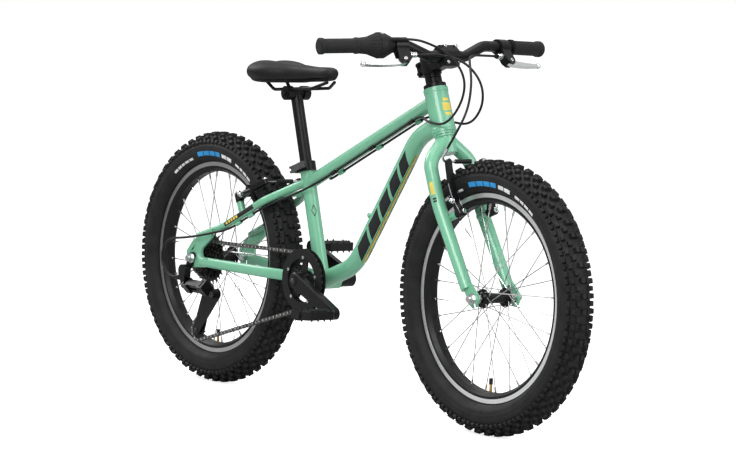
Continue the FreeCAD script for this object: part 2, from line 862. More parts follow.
def make_seat_clamp_lever():
    """The lever with its cam, slotted for the eye of the skewer and pinned through it."""
    middle = SEAT.multiply(Placement(Z_AXIS * collar_middle().value, Rotation()))
    place = middle.multiply(Placement(Vector(-v.skewer_back, -skewer_eye_offset().value, 0), Rotation()))
    cam = c.lever_cam_radius
    corners = [(NONE, cam, cam), (-cam, NONE, cam), (NONE, -cam),
               (c.lever_length, -c.lever_sweep - c.lever_tip.half(), c.lever_tip),
               (c.lever_length, -c.lever_sweep + c.lever_tip.half()),
               (cam, -c.air_gap - c.lever_tip.half(), -c.lever_length),
               (c.lever_root, c.lever_tip.half(), cam)]
    blank = plate("lever_blank", "XY_Plane", corners, c.lever_thickness, (), place)
    slot_corners = [(-cam - c.overrun, -cam - c.overrun), (c.lever_root, -cam - c.overrun),
                    (c.lever_root, cam + c.overrun), (-cam - c.overrun, cam + c.overrun)]
    slot = plate("lever_slot_cut", "XY_Plane", slot_corners, c.lever_slot, (), place)
    pin = cylinder("lever_pin", c.lever_pin_radius, c.lever_thickness,
                   place.multiply(Placement(Z_AXIS * (-v.lever_thickness / 2), Rotation())))
    return keep(fused("seat_clamp_lever", [cut("lever_slotted", blank, slot), pin]), "seat_clamp_lever")


def make_seatpost():
    """A plain post with a round cross head that the saddle bolt passes through."""
    post = cylinder("post_tube", c.seatpost_radius, c.post_top - c.post_bottom,
                    SEAT.multiply(Placement(Z_AXIS * v.post_bottom, Rotation())))
    across = SEAT.multiply(Placement(Vector(0, -v.post_head_half_width, v.post_head_height), ACROSS))
    head = cylinder("post_head", c.post_head_radius, c.post_head_half_width + c.post_head_half_width, across)
    bore = cylinder("post_head_bore", c.saddle_bolt_radius + c.running_fit,
                    c.post_head_half_width + c.post_head_half_width + c.overrun + c.overrun,
                    across.multiply(Placement(Z_AXIS * -v.overrun, Rotation())))
    return keep(cut("seatpost", fused("post_blank", [post, head]), bore), "seatpost")


SADDLE_SIZES = {
    "rail_radius": 3.5,
    "rail_curve": 18,
    "rail_rear_bend": (-48, 22, 5),
    "rail_rear_end": (-76, 27, 26),
    "rail_front_bend": (84, 22, 14),
    "rail_front_end": (118, 9, 28),
    "clamp_cheek_radius": 15,
    "clamp_cheek_inner": 13.4,
    "clamp_cheek_outer": 29,
    "clamp_ridge_radius": 12,
    "clamp_ridge_step": 2,
    "clamp_nut_radius": 7,
    "clamp_nut_height": 6,
    "saddle_rear": -112,
    "saddle_nose": 131,
    "saddle_half_width": 67,
    "saddle_low": 25,
    "saddle_top": 65,
    "saddle_base_thickness": 5,
    "saddle_seam": 0.05,
    "saddle_dip": 7,
}
add_sizes(SADDLE_SIZES)

# Across the saddle, from tail to nose: place along it, half width, underside and top, dip of the middle,
# each as a share of the length, the half width, the rise of the saddle twice, and the full dip.
SADDLE_SHARES = (
    (0.000, 0.50, 0.16, 0.72, 0.10),
    (0.050, 0.86, 0.08, 0.92, 0.60),
    (0.180, 1.00, 0.00, 1.00, 1.00),
    (0.330, 0.86, 0.00, 0.95, 1.00),
    (0.480, 0.52, 0.06, 0.87, 0.90),
    (0.660, 0.32, 0.14, 0.83, 0.60),
    (0.880, 0.27, 0.24, 0.84, 0.30),
    (0.970, 0.21, 0.34, 0.78, 0.15),
    (1.000, 0.11, 0.46, 0.68, 0.05),
)
# Points of one section, as shares of its half width and its height.
SECTION_SHARES = {"foot": (0.84, 0.00), "flank": (1.00, 0.36), "shoulder": (0.90, 0.74),
                  "crown": (0.62, 0.965), "brow": (0.24, 1.00)}


def saddle_centre():
    return SEAT.multVec(Z_AXIS * v.post_head_height)


def saddle_stations():
    """Each cross section of the saddle as x, half width, underside, height and dip."""
    length = v.saddle_nose - v.saddle_rear
    rise = v.saddle_top - v.saddle_low
    for along, width, low, high, dip in SADDLE_SHARES:
        yield (v.saddle_rear + along * length, width * v.saddle_half_width, v.saddle_low + low * rise,
               (high - low) * rise, dip * v.saddle_dip)


def cover_section(x, half_width, low, height, dip):
    def at(name, side):
        across, up = SECTION_SHARES[name]
        return Vector(x, side * across * half_width, low + up * height)
    dipped = Vector(x, 0, low + height - dip)
    edges = [Part.LineSegment(at("foot", RIGHT), at("foot", LEFT)),
             Part.Arc(at("foot", LEFT), at("flank", LEFT), at("shoulder", LEFT)),
             Part.Arc(at("shoulder", LEFT), at("crown", LEFT), at("brow", LEFT)),
             Part.Arc(at("brow", LEFT), dipped, at("brow", RIGHT)),
             Part.Arc(at("brow", RIGHT), at("crown", RIGHT), at("shoulder", RIGHT)),
             Part.Arc(at("shoulder", RIGHT), at("flank", RIGHT), at("foot", RIGHT))]
    return Part.Wire([edge.toShape() for edge in edges])


def base_section(x, half_width, low):
    across = SECTION_SHARES["foot"][0] * half_width
    inner = across - v.saddle_base_thickness
    top = low - v.saddle_seam
    bottom = top - v.saddle_base_thickness
    corners = [Vector(x, -across, top), Vector(x, across, top), Vector(x, inner, bottom),
               Vector(x, -inner, bottom)]
    return Part.makePolygon(corners + corners[:1])


def make_saddle():
    at_saddle = Placement(saddle_centre(), Rotation())
    stations = list(saddle_stations())
    cover = Part.makeLoft([cover_section(*station) for station in stations], True, False)
    inner_stations = stations[1:-1]
    base = Part.makeLoft([base_section(*station[:3]) for station in inner_stations], True, False)
    rails = [saddle_rail(side).cut(base) for side in (LEFT, RIGHT)]
    keep(shaped("saddle_cover", cover, at_saddle), "saddle_cover")
    keep(shaped("saddle_base", base.cut(cover), at_saddle), "saddle_base")
    keep(shaped("saddle_rails", Part.Compound([largest(rail) for rail in rails]), at_saddle), "saddle_rails")
    clamp = saddle_clamp()
    for side in (LEFT, RIGHT):
        clamp = clamp.cut(saddle_rail(side))
    keep(shaped("saddle_clamp", clamp, at_saddle), "saddle_clamp")


def saddle_rail(side):
    points = [mirrored(spot(name), side)
              for name in ("rail_rear_end", "rail_rear_bend", "rail_front_bend", "rail_front_end")]
    return tube(bent_path(points, [v.rail_curve, v.rail_curve]), v.rail_radius)


def saddle_clamp():
    """Ridged cheeks that hold a rail on each side of the post, drawn together by one bolt."""
    end = v.clamp_cheek_outer + v.clamp_nut_height
    bolt = rod(Vector(0, -end, 0), Vector(0, end, 0), v.saddle_bolt_radius)
    for side in (LEFT, RIGHT):
        inner = Vector(0, side * v.clamp_cheek_inner, 0)
        outer = Vector(0, side * v.clamp_cheek_outer, 0)
        bolt = bolt.fuse(rod(inner, outer, v.clamp_cheek_radius))
        ridge = outer + Vector(0, side * v.clamp_ridge_step, 0)
        bolt = bolt.fuse(rod(outer, ridge, v.clamp_ridge_radius))
        bolt = bolt.fuse(rod(ridge, outer + Vector(0, side * v.clamp_nut_height, 0), v.clamp_nut_radius))
    return bolt


# Fork. Lengths from here to the brake levers lie in the steering frame:
# X ahead of the steering axis, Z up along it, from the foot of the head tube.

FORK_SIZES = {
    "steerer_top": 158,
    "crown_radius": 18,
    "crown_depth": 44,
    "race_radius": 21,
    "race_height": 4,
    "leg_top_radius": 14.5,
    "leg_foot_radius": 12.5,
    "leg_root": (0, 8, -18),
    "leg_shoulder": (0, 53, -60),
    "leg_shoulder_curve": 46,
    "leg_knee": (0, 53, -150),
    "leg_knee_curve": 300,
    "leg_foot": (33, 53, -330),
    "tip_inner": 50,
    "tip_thickness": 6,
    "tip_radius": 15,
    "tip_slot_depth": 18,
    "tip_height": 34,
    "tip_front": 1,
    "tip_back": 22,
    "front_brake_ahead": 36,
    "front_brake_height": -178,
}
add_sizes(FORK_SIZES)


def front_brake_frame():
    return STEER.multiply(Placement(Vector(v.front_brake_ahead, 0, v.front_brake_height), Rotation()))


def front_axle_in_steer():
    return Vector(v.fork_rake, 0, -v.fork_length)


def fork_tip(side):
    """A slotted plate for the front axle."""
    slot = c.axle_radius
    round_edge = c.tip_radius
    corners = [(slot, -c.tip_slot_depth), (round_edge, -slot), (round_edge, slot),
               (c.tip_front, c.tip_height),
               (-c.tip_back, c.tip_height), (-round_edge, slot), (-round_edge, -slot),
               (-slot, -c.tip_slot_depth),
               (-slot, NONE, -slot), (NONE, slot, -slot), (slot, NONE)]
    middle = side * (v.tip_inner + v.tip_thickness / 2)
    place = STEER.multiply(Placement(front_axle_in_steer() + Y_AXIS * middle, Rotation()))
    name = "fork_tip_left" if side == LEFT else "fork_tip_right"
    return plate(name, "XZ_Plane", corners, c.tip_thickness, (), place)


def fork_leg(side):
    points = [mirrored(spot(name), side) for name in ("leg_root", "leg_shoulder", "leg_knee", "leg_foot")]
    path = bent_path(points, [v.leg_shoulder_curve, v.leg_knee_curve])
    return tube(path, v.leg_top_radius, v.leg_foot_radius).transformed(STEER.toMatrix())


def make_fork():
    """A rigid fork: the legs curve out of the steerer and run down to slotted tips."""
    steerer_from = -c.crown_depth
    race_from = -c.cup_height - c.air_gap - c.race_height
    corners = [(NONE, steerer_from), (c.crown_radius, steerer_from), (c.crown_radius, race_from),
               (c.race_radius, race_from), (c.race_radius, race_from + c.race_height),
               (c.steerer_radius, race_from + c.race_height), (c.steerer_radius, c.steerer_top),
               (NONE, c.steerer_top)]
    pieces = [turned("steerer", corners, STEER)]
    for side in (LEFT, RIGHT):
        pieces.append(shaped("fork_leg_left" if side == LEFT else "fork_leg_right", fork_leg(side)))
        pieces.append(fork_tip(side))
    for index, boss in enumerate(brake_bosses(front_brake_frame())):
        pieces.append(shaped("front_boss_%d" % index, boss))
    return keep(fused("fork", pieces), "fork")


def make_front_axle():
    seat = c.tip_inner + c.tip_thickness
    end = seat + c.washer_thickness + c.axle_nut_height + c.axle_end
    lock = (c.front_hub_half + c.air_gap, c.tip_inner)
    return keep(axle_stack("front_axle", AT_FRONT_AXLE, (seat, seat), (lock, lock), (end, end)),
                "front_axle")


# Stem and handlebar

STEM_SIZES = {
    "stem_low": 122,
    "stem_radius": 19.5,
    "stem_half_width": 15,
    "stem_edge": 3,
    "dust_cover_radius": 23,
    "dust_cover_edge": 3,
    "dust_cover_rise": 6,
    "spacer_radius": 16.8,
    "spacer_groove": 0.8,
    "top_cap_radius": 15.5,
    "top_cap_height": 4,
    "top_cap_screw_radius": 4,
    "top_cap_screw_height": 2,
    "bar_ahead": 52.6,
    "bar_height": 141.8,
    "bar_clamp_radius": 12.7,
    "bar_block_half_height": 22,
    "bar_block_half_width": 21,
    "bar_block_back": 13,
    "face_gap": 1.5,
    "face_depth": 17,
    "face_edge": 8,
    "face_bolt_height": 17,
    "face_bolt_side": 14,
    "face_bolt_radius": 2.5,
    "face_bolt_head_radius": 4.2,
    "face_bolt_head_height": 4,
    "stem_ear_back": 32,
    "stem_ear_half_width": 10,
    "stem_slit": 2,
    "stem_bolt_back": 26,
    "stem_bolt_inset": 9,
    "bar_radius": 11.1,
    "bar_clamp_half": 30,
    "bar_swage_half": 44,
    "bar_first_bend": (0, 45, 0),
    "bar_first_curve": 40,
    "bar_second_bend": (0.4, 100, 23.4),
    "bar_second_curve": 60,
    "bar_end": (-38.1, 282, 31.8),
}
add_sizes(STEM_SIZES)


def make_headset_spacers():
    """The dust cover and spacers under the stem, and the cap on top of it."""
    low = c.head_length + c.cup_height + c.air_gap
    bore = c.steerer_radius
    edge = low + c.dust_cover_edge
    neck = low + c.dust_cover_rise
    groove = c.spacer_radius - c.spacer_groove
    third = Size((v.stem_low - neck.value) / 2, "((Sizes.stem_low - %s) / 2)" % neck.text) + neck
    corners = [(bore, low), (c.dust_cover_radius, low), (c.dust_cover_radius, edge), (c.spacer_radius, neck),
               (c.spacer_radius, third - c.spacer_groove), (groove, third),
               (c.spacer_radius, third + c.spacer_groove),
               (c.spacer_radius, c.stem_low), (bore, c.stem_low)]
    spacers = turned("spacers", corners, STEER)
    cap_top = c.steerer_top + c.top_cap_height
    screw_top = cap_top + c.top_cap_screw_height
    cap = turned("top_cap", [(NONE, c.steerer_top), (c.top_cap_radius, c.steerer_top),
                             (c.top_cap_radius, cap_top - c.spacer_groove),
                             (c.top_cap_radius - c.spacer_groove, cap_top),
                             (c.top_cap_screw_radius, cap_top), (c.top_cap_screw_radius, screw_top),
                             (NONE, screw_top)], STEER)
    return keep(grouped("headset_spacers", [spacers, cap]), "headset_spacers")


def upright_block(name, corners, half_width):
    """A block between two sides of the steering plane."""
    return plate(name, "XZ_Plane", corners, half_width + half_width, (), STEER)


def bar_bore(name):
    across = STEER.multiply(Placement(Vector(v.bar_ahead, -v.stem_ear_back, v.bar_height), ACROSS))
    return cylinder(name, c.bar_clamp_radius, c.stem_ear_back + c.stem_ear_back, across)


def make_stem():
    """The clamp on the steerer, the arm, and the bar clamp with its front plate."""
    low = c.stem_low
    top = c.steerer_top
    clamp = turned("stem_clamp", [(c.steerer_radius, low), (c.stem_radius, low), (c.stem_radius, top),
                                  (c.steerer_radius, top)], STEER)
    back = c.bar_ahead - c.bar_block_back
    split = c.bar_ahead - c.face_gap.half()
    block_low = c.bar_height - c.bar_block_half_height
    block_top = c.bar_height + c.bar_block_half_height
    arm = upright_block("stem_arm", [(c.steerer_radius, low + c.stem_edge), (back, low + c.stem_edge),
                                     (back, top + c.stem_edge), (c.steerer_radius, top - c.stem_edge)],
                        c.stem_half_width)
    block = upright_block("stem_block", [(back - c.stem_edge, low), (split, block_low), (split, block_top),
                                         (back - c.stem_edge, top)], c.bar_block_half_width)
    ears = upright_block("stem_ears", [(-c.stem_ear_back, low + c.stem_edge),
                                       (-c.steerer_radius - c.stem_slit, low + c.stem_edge),
                                       (-c.steerer_radius - c.stem_slit, top - c.stem_edge),
                                       (-c.stem_ear_back, top - c.stem_edge)], c.stem_ear_half_width)
    slit = upright_block("stem_slit_cut",
                         [(-c.stem_ear_back - c.overrun, low - c.overrun), (NONE, low - c.overrun),
                                           (NONE, top + c.overrun),
                                           (-c.stem_ear_back - c.overrun, top + c.overrun)],
                         c.stem_slit.half())
    bore = cylinder("stem_steerer_bore", c.steerer_radius, top, STEER)
    whole = cut("stem_body", fused("stem_blank", [clamp, arm, block, ears]),
                fused("stem_cuts", [slit, bore, bar_bore("stem_bar_bore")]))
    pieces = [fused("stem_bolted", [whole] + stem_bolts()), face_plate()]
    return keep(grouped("stem", pieces), "stem")


def stem_bolts():
    """Two bolts across the ears, and the shanks that show between the arm and the front plate."""
    bolts = []
    for index, height in enumerate((v.stem_low + v.stem_bolt_inset, v.steerer_top - v.stem_bolt_inset)):
        ear = Vector(-v.stem_bolt_back, -v.stem_ear_half_width - v.face_bolt_head_height, height)
        bolts.append(cylinder("stem_ear_bolt_%d" % index, c.face_bolt_head_radius,
                              c.stem_ear_half_width + c.stem_ear_half_width + c.face_bolt_head_height,
                              STEER.multiply(Placement(ear, ACROSS))))
    for index, (across, up) in enumerate(face_bolt_places()):
        shank = Vector(v.bar_ahead - v.face_gap / 2, across, v.bar_height + up)
        bolts.append(cylinder("stem_shank_%d" % index, c.face_bolt_radius, c.face_gap,
                              STEER.multiply(pointing(shank, X_AXIS))))
    return bolts


def face_bolt_places():
    return [(side * v.face_bolt_side, level * v.face_bolt_height) for side in (LEFT,
                                                                               RIGHT) for level in (1, -1)]


def face_plate():
    split = c.bar_ahead + c.face_gap.half()
    front = split + c.face_depth
    low = c.bar_height - c.bar_block_half_height
    top = c.bar_height + c.bar_block_half_height
    ledge = split + c.face_edge
    corners = [(split, low), (ledge, low), (front, c.bar_height - c.face_edge, c.face_depth),
               (front, c.bar_height + c.face_edge), (ledge, top), (split, top)]
    blank = upright_block("face_blank", corners, c.bar_block_half_width)
    heads = []
    for index, (across, up) in enumerate(face_bolt_places()):
        seat = Vector(ledge.value, across, v.bar_height + up)
        heads.append(cylinder("face_bolt_%d" % index, c.face_bolt_head_radius, c.face_bolt_head_height,
                              STEER.multiply(pointing(seat, X_AXIS))))
    return fused("face_plate", [cut("face_bored", blank, bar_bore("face_bar_bore"))] + heads)


def bar_centre():
    return Vector(v.bar_ahead, 0, v.bar_height)


def bar_point(name, side):
    return bar_centre() + mirrored(spot(name), side)


def make_handlebar():
    """A riser bar, thicker where the stem holds it."""
    names = ("bar_end", "bar_second_bend", "bar_first_bend")
    points = [bar_point(name, RIGHT) for name in names] + [bar_point(name, LEFT) for name in reversed(names)]
    curves = [v.bar_second_curve, v.bar_first_curve, v.bar_first_curve, v.bar_second_curve]
    bar = tube(bent_path(points, curves), v.bar_radius)
    middle = rod(bar_centre() - Y_AXIS * v.bar_clamp_half, bar_centre() + Y_AXIS * v.bar_clamp_half,
                 v.bar_clamp_radius)
    bar = bar.fuse(middle)
    for side in (LEFT, RIGHT):
        start = bar_centre() + Y_AXIS * (side * v.bar_clamp_half)
        swage = Part.makeCone(v.bar_clamp_radius, v.bar_radius, v.bar_swage_half - v.bar_clamp_half, start,
                              Y_AXIS * side)
        bar = bar.fuse(swage)
    return keep(shaped("handlebar", bar.removeSplitter(), STEER), "handlebar")


# Grips, twist shifter and brake levers. Lengths lie in the frame of a grip:
# Z outward along the bar from its end, X towards the brake lever.

CONTROL_SIZES = {
    "lever_drop_angle": 17.5,
    "grip_radius": 14.6,
    "grip_flange_radius": 16.5,
    "grip_flange_width": 5,
    "grip_flange_slope": 2,
    "grip_cap_height": 4,
    "grip_cap_radius": 13,
    "grip_left_length": 97,
    "grip_right_length": 80,
    "twist_length": 42,
    "twist_waist": 20,
    "twist_small_radius": 15.5,
    "twist_waist_radius": 17.5,
    "twist_large_radius": 25.5,
    "twist_rib_count": 18,
    "twist_rib_radius": 2,
    "twist_rib_depth": 0.8,
    "shifter_length": 32,
    "shifter_drum": 13,
    "shifter_radius": 26,
    "shifter_small_radius": 16,
    "nozzle_radius": 4,
    "nozzle_ahead": 20,
    "nozzle_length": 34,
    "perch_outer": 160,
    "perch_inner": 187,
    "left_perch_shift": 46,
    "perch_wall": 6,
    "perch_radius": 15.5,
    "perch_reach": 45,
    "perch_nose": 8,
    "perch_thickness": 18,
    "perch_slot": 9,
    "perch_slot_from": 18,
    "pivot_reach": 38,
    "pivot_from_end": 172,
    "pivot_radius": 2.5,
    "adjuster_reach": 24,
    "adjuster_radius": 5,
    "adjuster_length": 18,
    "blade_thickness": 8,
    "blade_root": 7,
    "blade_anchor": 14,
    "blade_anchor_half": 4.5,
    "blade_shoulder": 12,
    "blade_waist": 3,
    "blade_length": 92,
    "blade_width": 6,
    "blade_out": 9,
    "blade_curve": 400,
    "blade_ball": 6,
}
add_sizes(CONTROL_SIZES)


def grip_frame(side):
    end = bar_point("bar_end", side)
    outward = (end - bar_point("bar_second_bend", side)).normalize()
    drop = math.radians(v.lever_drop_angle)
    reach = Vector(math.sin(drop), 0, -math.cos(drop))
    return STEER.multiply(Placement(end, Rotation(reach, ORIGIN, outward, "ZXY")))


def lever_frame(side):
    """The frame of a grip, moved along the bar to the brake lever: the left one sits closer to its grip."""
    shift = v.left_perch_shift if side == LEFT else 0
    return grip_frame(side).multiply(Placement(Z_AXIS * shift, Rotation()))


def make_grips():
    grips = []
    for side, length in ((LEFT, c.grip_left_length), (RIGHT, c.grip_right_length)):
        flange = c.grip_flange_radius
        width = c.grip_flange_width
        slope = c.grip_flange_slope
        corners = [(c.bar_radius, -length), (flange, -length), (flange, width - length),
                   (c.grip_radius, width + slope - length), (c.grip_radius, -width - slope),
                   (flange, -width),
                   (flange, slope), (c.grip_cap_radius, c.grip_cap_height), (NONE, c.grip_cap_height),
                   (NONE, NONE), (c.bar_radius, NONE)]
        grips.append(turned("grip_left" if side == LEFT else "grip_right", corners, grip_frame(side)))
    return keep(grouped("grips", grips), "grips")


def twist_start():
    return -c.grip_right_length - c.air_gap


def make_shifter_twist_grip():
    """The part of the right grip that turns to shift, with grooves along it."""
    start = twist_start()
    bore = c.bar_radius + c.running_fit
    corners = [(bore, start - c.twist_length), (c.twist_large_radius, start - c.twist_length),
               (c.twist_waist_radius, start - c.twist_waist), (c.twist_small_radius, start), (bore, start)]
    frame = grip_frame(RIGHT)
    body = turned("twist_blank", corners, frame)
    waist = frame.multVec(Vector(v.twist_waist_radius, 0, start.value - v.twist_waist))
    large = frame.multVec(Vector(v.twist_large_radius, 0, start.value - v.twist_length))
    lift = frame.Rotation.multVec(X_AXIS) * (v.twist_rib_radius - v.twist_rib_depth)
    along = (large - waist).normalize() * v.overrun
    axis = frame.Rotation.multVec(Z_AXIS)
    step = FULL_TURN / v.twist_rib_count
    groove = rod(waist + lift, large + lift + along, v.twist_rib_radius)
    grooves = [groove.rotated(frame.Base, axis, step * index) for index in range(int(v.twist_rib_count))]
    ribs = shaped("twist_grooves", Part.Compound(grooves))
    return keep(cut("shifter_twist_grip", body, ribs), "shifter_twist_grip")


def make_shifter_housing():
    """The fixed drum of the shifter, with the nozzle that its cable leaves by."""
    outer = twist_start() - c.twist_length - c.air_gap
    inner = outer - c.shifter_length
    corners = [(c.bar_radius, inner), (c.shifter_small_radius, inner),
               (c.shifter_radius, outer - c.shifter_drum),
               (c.shifter_radius, outer), (c.bar_radius, outer)]
    frame = grip_frame(RIGHT)
    drum = turned("shifter_drum_body", corners, frame)
    start = Vector(0, v.nozzle_ahead, outer.value - v.shifter_drum / 2)
    nozzle = cylinder("shifter_nozzle", c.nozzle_radius, c.nozzle_length,
                      frame.multiply(pointing(start, -Z_AXIS)))
    return keep(fused("shifter_housing", [drum, nozzle]), "shifter_housing")


def make_brake_perches():
    """Clamps on the bar that carry the brake levers between two cheeks, with a cable adjuster."""
    perches = []
    for side in (LEFT, RIGHT):
        tag = "perch_left" if side == LEFT else "perch_right"
        frame = lever_frame(side)
        band = turned(tag + "_band", [(c.bar_radius, -c.perch_inner), (c.perch_radius, -c.perch_inner),
                                      (c.perch_radius, -c.perch_outer), (c.bar_radius, -c.perch_outer)],
                                      frame)
        nose = c.perch_reach - c.perch_nose
        block = plate(tag + "_block", "XZ_Plane", [(NONE, -c.perch_inner), (nose, -c.perch_inner),
                                                   (c.perch_reach, c.perch_nose - c.perch_inner),
                                                   (c.perch_reach, -c.perch_outer - c.perch_wall),
                                                   (nose, -c.perch_outer), (NONE, -c.perch_outer)],
                      c.perch_thickness, (), frame)
        slot = plate(tag + "_slot", "XZ_Plane", [(c.perch_slot_from, c.perch_wall - c.perch_inner),
                                                 (c.perch_reach + c.overrun, c.perch_wall - c.perch_inner),
                                                 (c.perch_reach + c.overrun, c.overrun - c.perch_outer),
                                                 (c.perch_slot_from, c.overrun - c.perch_outer)],
                     c.perch_slot, (), frame)
        bore = cylinder(tag + "_bore", c.bar_radius, c.perch_inner,
                        frame.multiply(pointing(ORIGIN, -Z_AXIS)))
        head = cut(tag + "_head", fused(tag + "_blank", [band, block]), fused(tag + "_cuts", [slot, bore]))
        adjuster_at = Vector(v.adjuster_reach, 0, -v.perch_inner)
        adjuster = cylinder(tag + "_adjuster", c.adjuster_radius, c.adjuster_length,
                            frame.multiply(pointing(adjuster_at, -Z_AXIS)))
        pin_at = Vector(v.pivot_reach, -v.perch_thickness / 2, -v.pivot_from_end)
        pin = cylinder(tag + "_pin", c.pivot_radius, c.perch_thickness,
                       frame.multiply(Placement(pin_at, ACROSS)))
        perches.append(fused(tag, [head, adjuster, pin]))
    return keep(grouped("brake_perches", perches), "brake_perches")


def make_brake_lever(side):
    """A blade with a ball end, turning on the pin of its perch."""
    label = "brake_lever_left" if side == LEFT else "brake_lever_right"
    place = lever_frame(side).multiply(Placement(Vector(v.pivot_reach, 0, -v.pivot_from_end), Rotation()))
    root = c.blade_root
    corners = [(-c.blade_anchor, -c.blade_anchor_half), (-root, -root), (c.blade_anchor_half, -root),
               (c.blade_out, c.blade_waist, c.blade_curve), (c.blade_out, c.blade_length),
               (c.blade_out - c.blade_width, c.blade_length, -c.blade_curve),
               (-c.blade_waist, c.blade_shoulder),
               (-c.blade_anchor, c.blade_anchor_half)]
    hole = (NONE, NONE, c.pivot_radius + c.running_fit)
    blade = plate(label + "_blade", "XZ_Plane", corners, c.blade_thickness, [hole], place)
    ball = bind(doc.addObject("Part::Sphere", label + "_ball"), Radius=c.blade_ball)
    tip = Vector(v.blade_out - v.blade_width / 2, 0, v.blade_length)
    ball.Placement = place.multiply(Placement(tip, Rotation()))
    return keep(fused(label, [blade, ball]), label)


# Wheels. Radii from the axle, and lengths to the left of the middle of the wheel.

WHEEL_SIZES = {
    "rim_edge": 209,
    "rim_half_width": 16,
    "rim_wall": 2,
    "rim_shelf": 202,
    "rim_bed": 197,
    "rim_bed_half": 6,
    "rim_shoulder": 192.5,
    "rim_inner": 186,
    "rim_inner_half": 9,
    "tyre_centre": 233,
    "tyre_section": 34,
    "tyre_wall": 3.5,
    "tyre_inner_chords": 3,
    "tyre_skirt_angle": 115,
    "tyre_seat": 16.5,
    "bead_gap": 0.1,
    "bead_width": 3.4,
    "tread_sectors": 40,
    "knob_sink": 2,
    "knob_top": 272,
    "knob_length": 12,
    "knob_width": 10,
    "knob_side": 7,
    "knob_shift_share": 0.25,
    "flank_knob_angle": 36,
    "flank_knob_height": 4,
    "flank_knob_width": 9,
    "edge_knob_angle": 60,
    "edge_knob_height": 2.6,
    "edge_knob_width": 8,
    "edge_knob_length": 15,
    "inner_tube_radius": 25,
    "valve_radius": 3,
    "valve_tip": 158,
    "valve_cap_radius": 4,
    "valve_cap_length": 12,
    "spoke_count": 32,
    "spoke_radius": 1.1,
    "spoke_cross_angle": 50,
    "spoke_inset": 2.6,
    "spoke_seat": 0.6,
    "spoke_rim_side": 2.5,
    "nipple_radius": 2.2,
    "nipple_length": 12,
    "nipple_seat": 0.5,
    "flange_half": 1.5,
    "flange_depth": 5.5,
    "front_hub_half": 38,
    "front_hub_radius": 10,
    "front_hub_waist": 11,
    "front_flange_radius": 19,
    "front_flange_at": 28.5,
    "hub_slope": 5,
    "hub_end_radius": 9,
    "rear_hub_right": 27,
    "rear_hub_left": 38,
    "rear_hub_radius": 13,
    "rear_flange_radius": 22,
    "rear_flange_right": 22.5,
    "rear_flange_left": 31,
}
add_sizes(WHEEL_SIZES)


def make_rim(name, at_axle):
    """A double walled rim, open to the tyre, with a hole for the valve."""
    inside = c.rim_half_width - c.rim_wall
    half = [(c.rim_inner, c.rim_inner_half), (c.rim_shoulder, c.rim_half_width),
            (c.rim_edge, c.rim_half_width),
            (c.rim_edge, inside), (c.rim_shelf, inside), (c.rim_bed, c.rim_bed_half)]
    corners = half + [(radius, -across) for radius, across in reversed(half)]
    blank = turned(name + "_ring", corners, at_axle)
    hole = cylinder(name + "_valve_hole", c.valve_radius, c.rim_edge,
                    at_axle.multiply(pointing(ORIGIN, Y_AXIS)))
    return keep(cut(name, blank, hole), name)


def tyre_section():
    """Half of the casing on the left of the wheel, from the bead over the crown."""
    def on_arc(radius, angle):
        turn = math.radians(angle)
        return Vector(v.tyre_centre + radius * math.cos(turn), 0, radius * math.sin(turn))
    outer = v.tyre_section
    inner = v.tyre_section - v.tyre_wall
    skirt = v.tyre_skirt_angle
    bead = v.rim_half_width - v.rim_wall - v.bead_gap
    low = v.rim_shelf + v.bead_gap
    lip = v.rim_edge + v.air_gap
    chords = int(v.tyre_inner_chords)
    corners = [on_arc(outer, skirt), Vector(lip, 0, v.tyre_seat), Vector(lip, 0, bead), Vector(low, 0, bead),
               Vector(low, 0, bead - v.bead_width), Vector(lip, 0, bead - v.bead_width)]
    corners += [on_arc(inner, skirt * (chords - index) / chords) for index in range(chords + 1)]
    corners.append(on_arc(outer, 0))
    edges = [Part.LineSegment(start, end).toShape() for start, end in zip(corners, corners[1:])]
    edges.append(Part.Arc(on_arc(outer, 0), on_arc(outer, skirt / 2), on_arc(outer, skirt)).toShape())
    return Part.Face(Part.Wire(edges))


def knob(angle, base_radius, height, width, length, lean, side):
    """A block of the tread, leaning out from the crown by an angle."""
    block = Part.makeBox(height + v.knob_sink, length, width,
                         Vector(base_radius - v.knob_sink, -length / 2, -width / 2))
    block.rotate(ORIGIN, Y_AXIS, -side * lean)
    block.translate(X_AXIS * v.tyre_centre)
    block.rotate(ORIGIN, Z_AXIS, angle)
    return block


def tread_sector():
    """One repeat of the tyre: casing with a pair of centre, flank and edge knobs."""
    step = FULL_TURN / v.tread_sectors
    half = tyre_section().revolve(ORIGIN, Z_AXIS, step)
    casing = half.fuse(half.mirror(ORIGIN, Z_AXIS)).removeSplitter()
    casing.rotate(ORIGIN, Z_AXIS, -step / 2)
    shift = step * v.knob_shift_share
    centre_height = v.knob_top - v.tyre_centre - v.tyre_section
    knobs = []
    for side in (LEFT, RIGHT):
        middle = knob(0, v.tyre_section, centre_height, v.knob_width, v.knob_length, 0, side)
        middle.translate(Z_AXIS * (side * v.knob_side))
        middle.rotate(ORIGIN, Z_AXIS, -shift)
        knobs.append(middle)
        knobs.append(knob(shift, v.tyre_section, v.flank_knob_height, v.flank_knob_width, v.knob_length,
                          v.flank_knob_angle, side))
        knobs.append(knob(-shift, v.tyre_section, v.edge_knob_height, v.edge_knob_width, v.edge_knob_length,
                          v.edge_knob_angle, side))
    return casing.fuse(knobs), step


def is_cut_face(face, step):
    """Whether a face lies in one of the two planes that bound a sector."""
    for angle in (-step / 2, step / 2):
        normal = Rotation(Z_AXIS, angle).multVec(Y_AXIS)
        if all(abs(vertex.Point.dot(normal)) < v.running_fit for vertex in face.Vertexes):
            return True
    return False


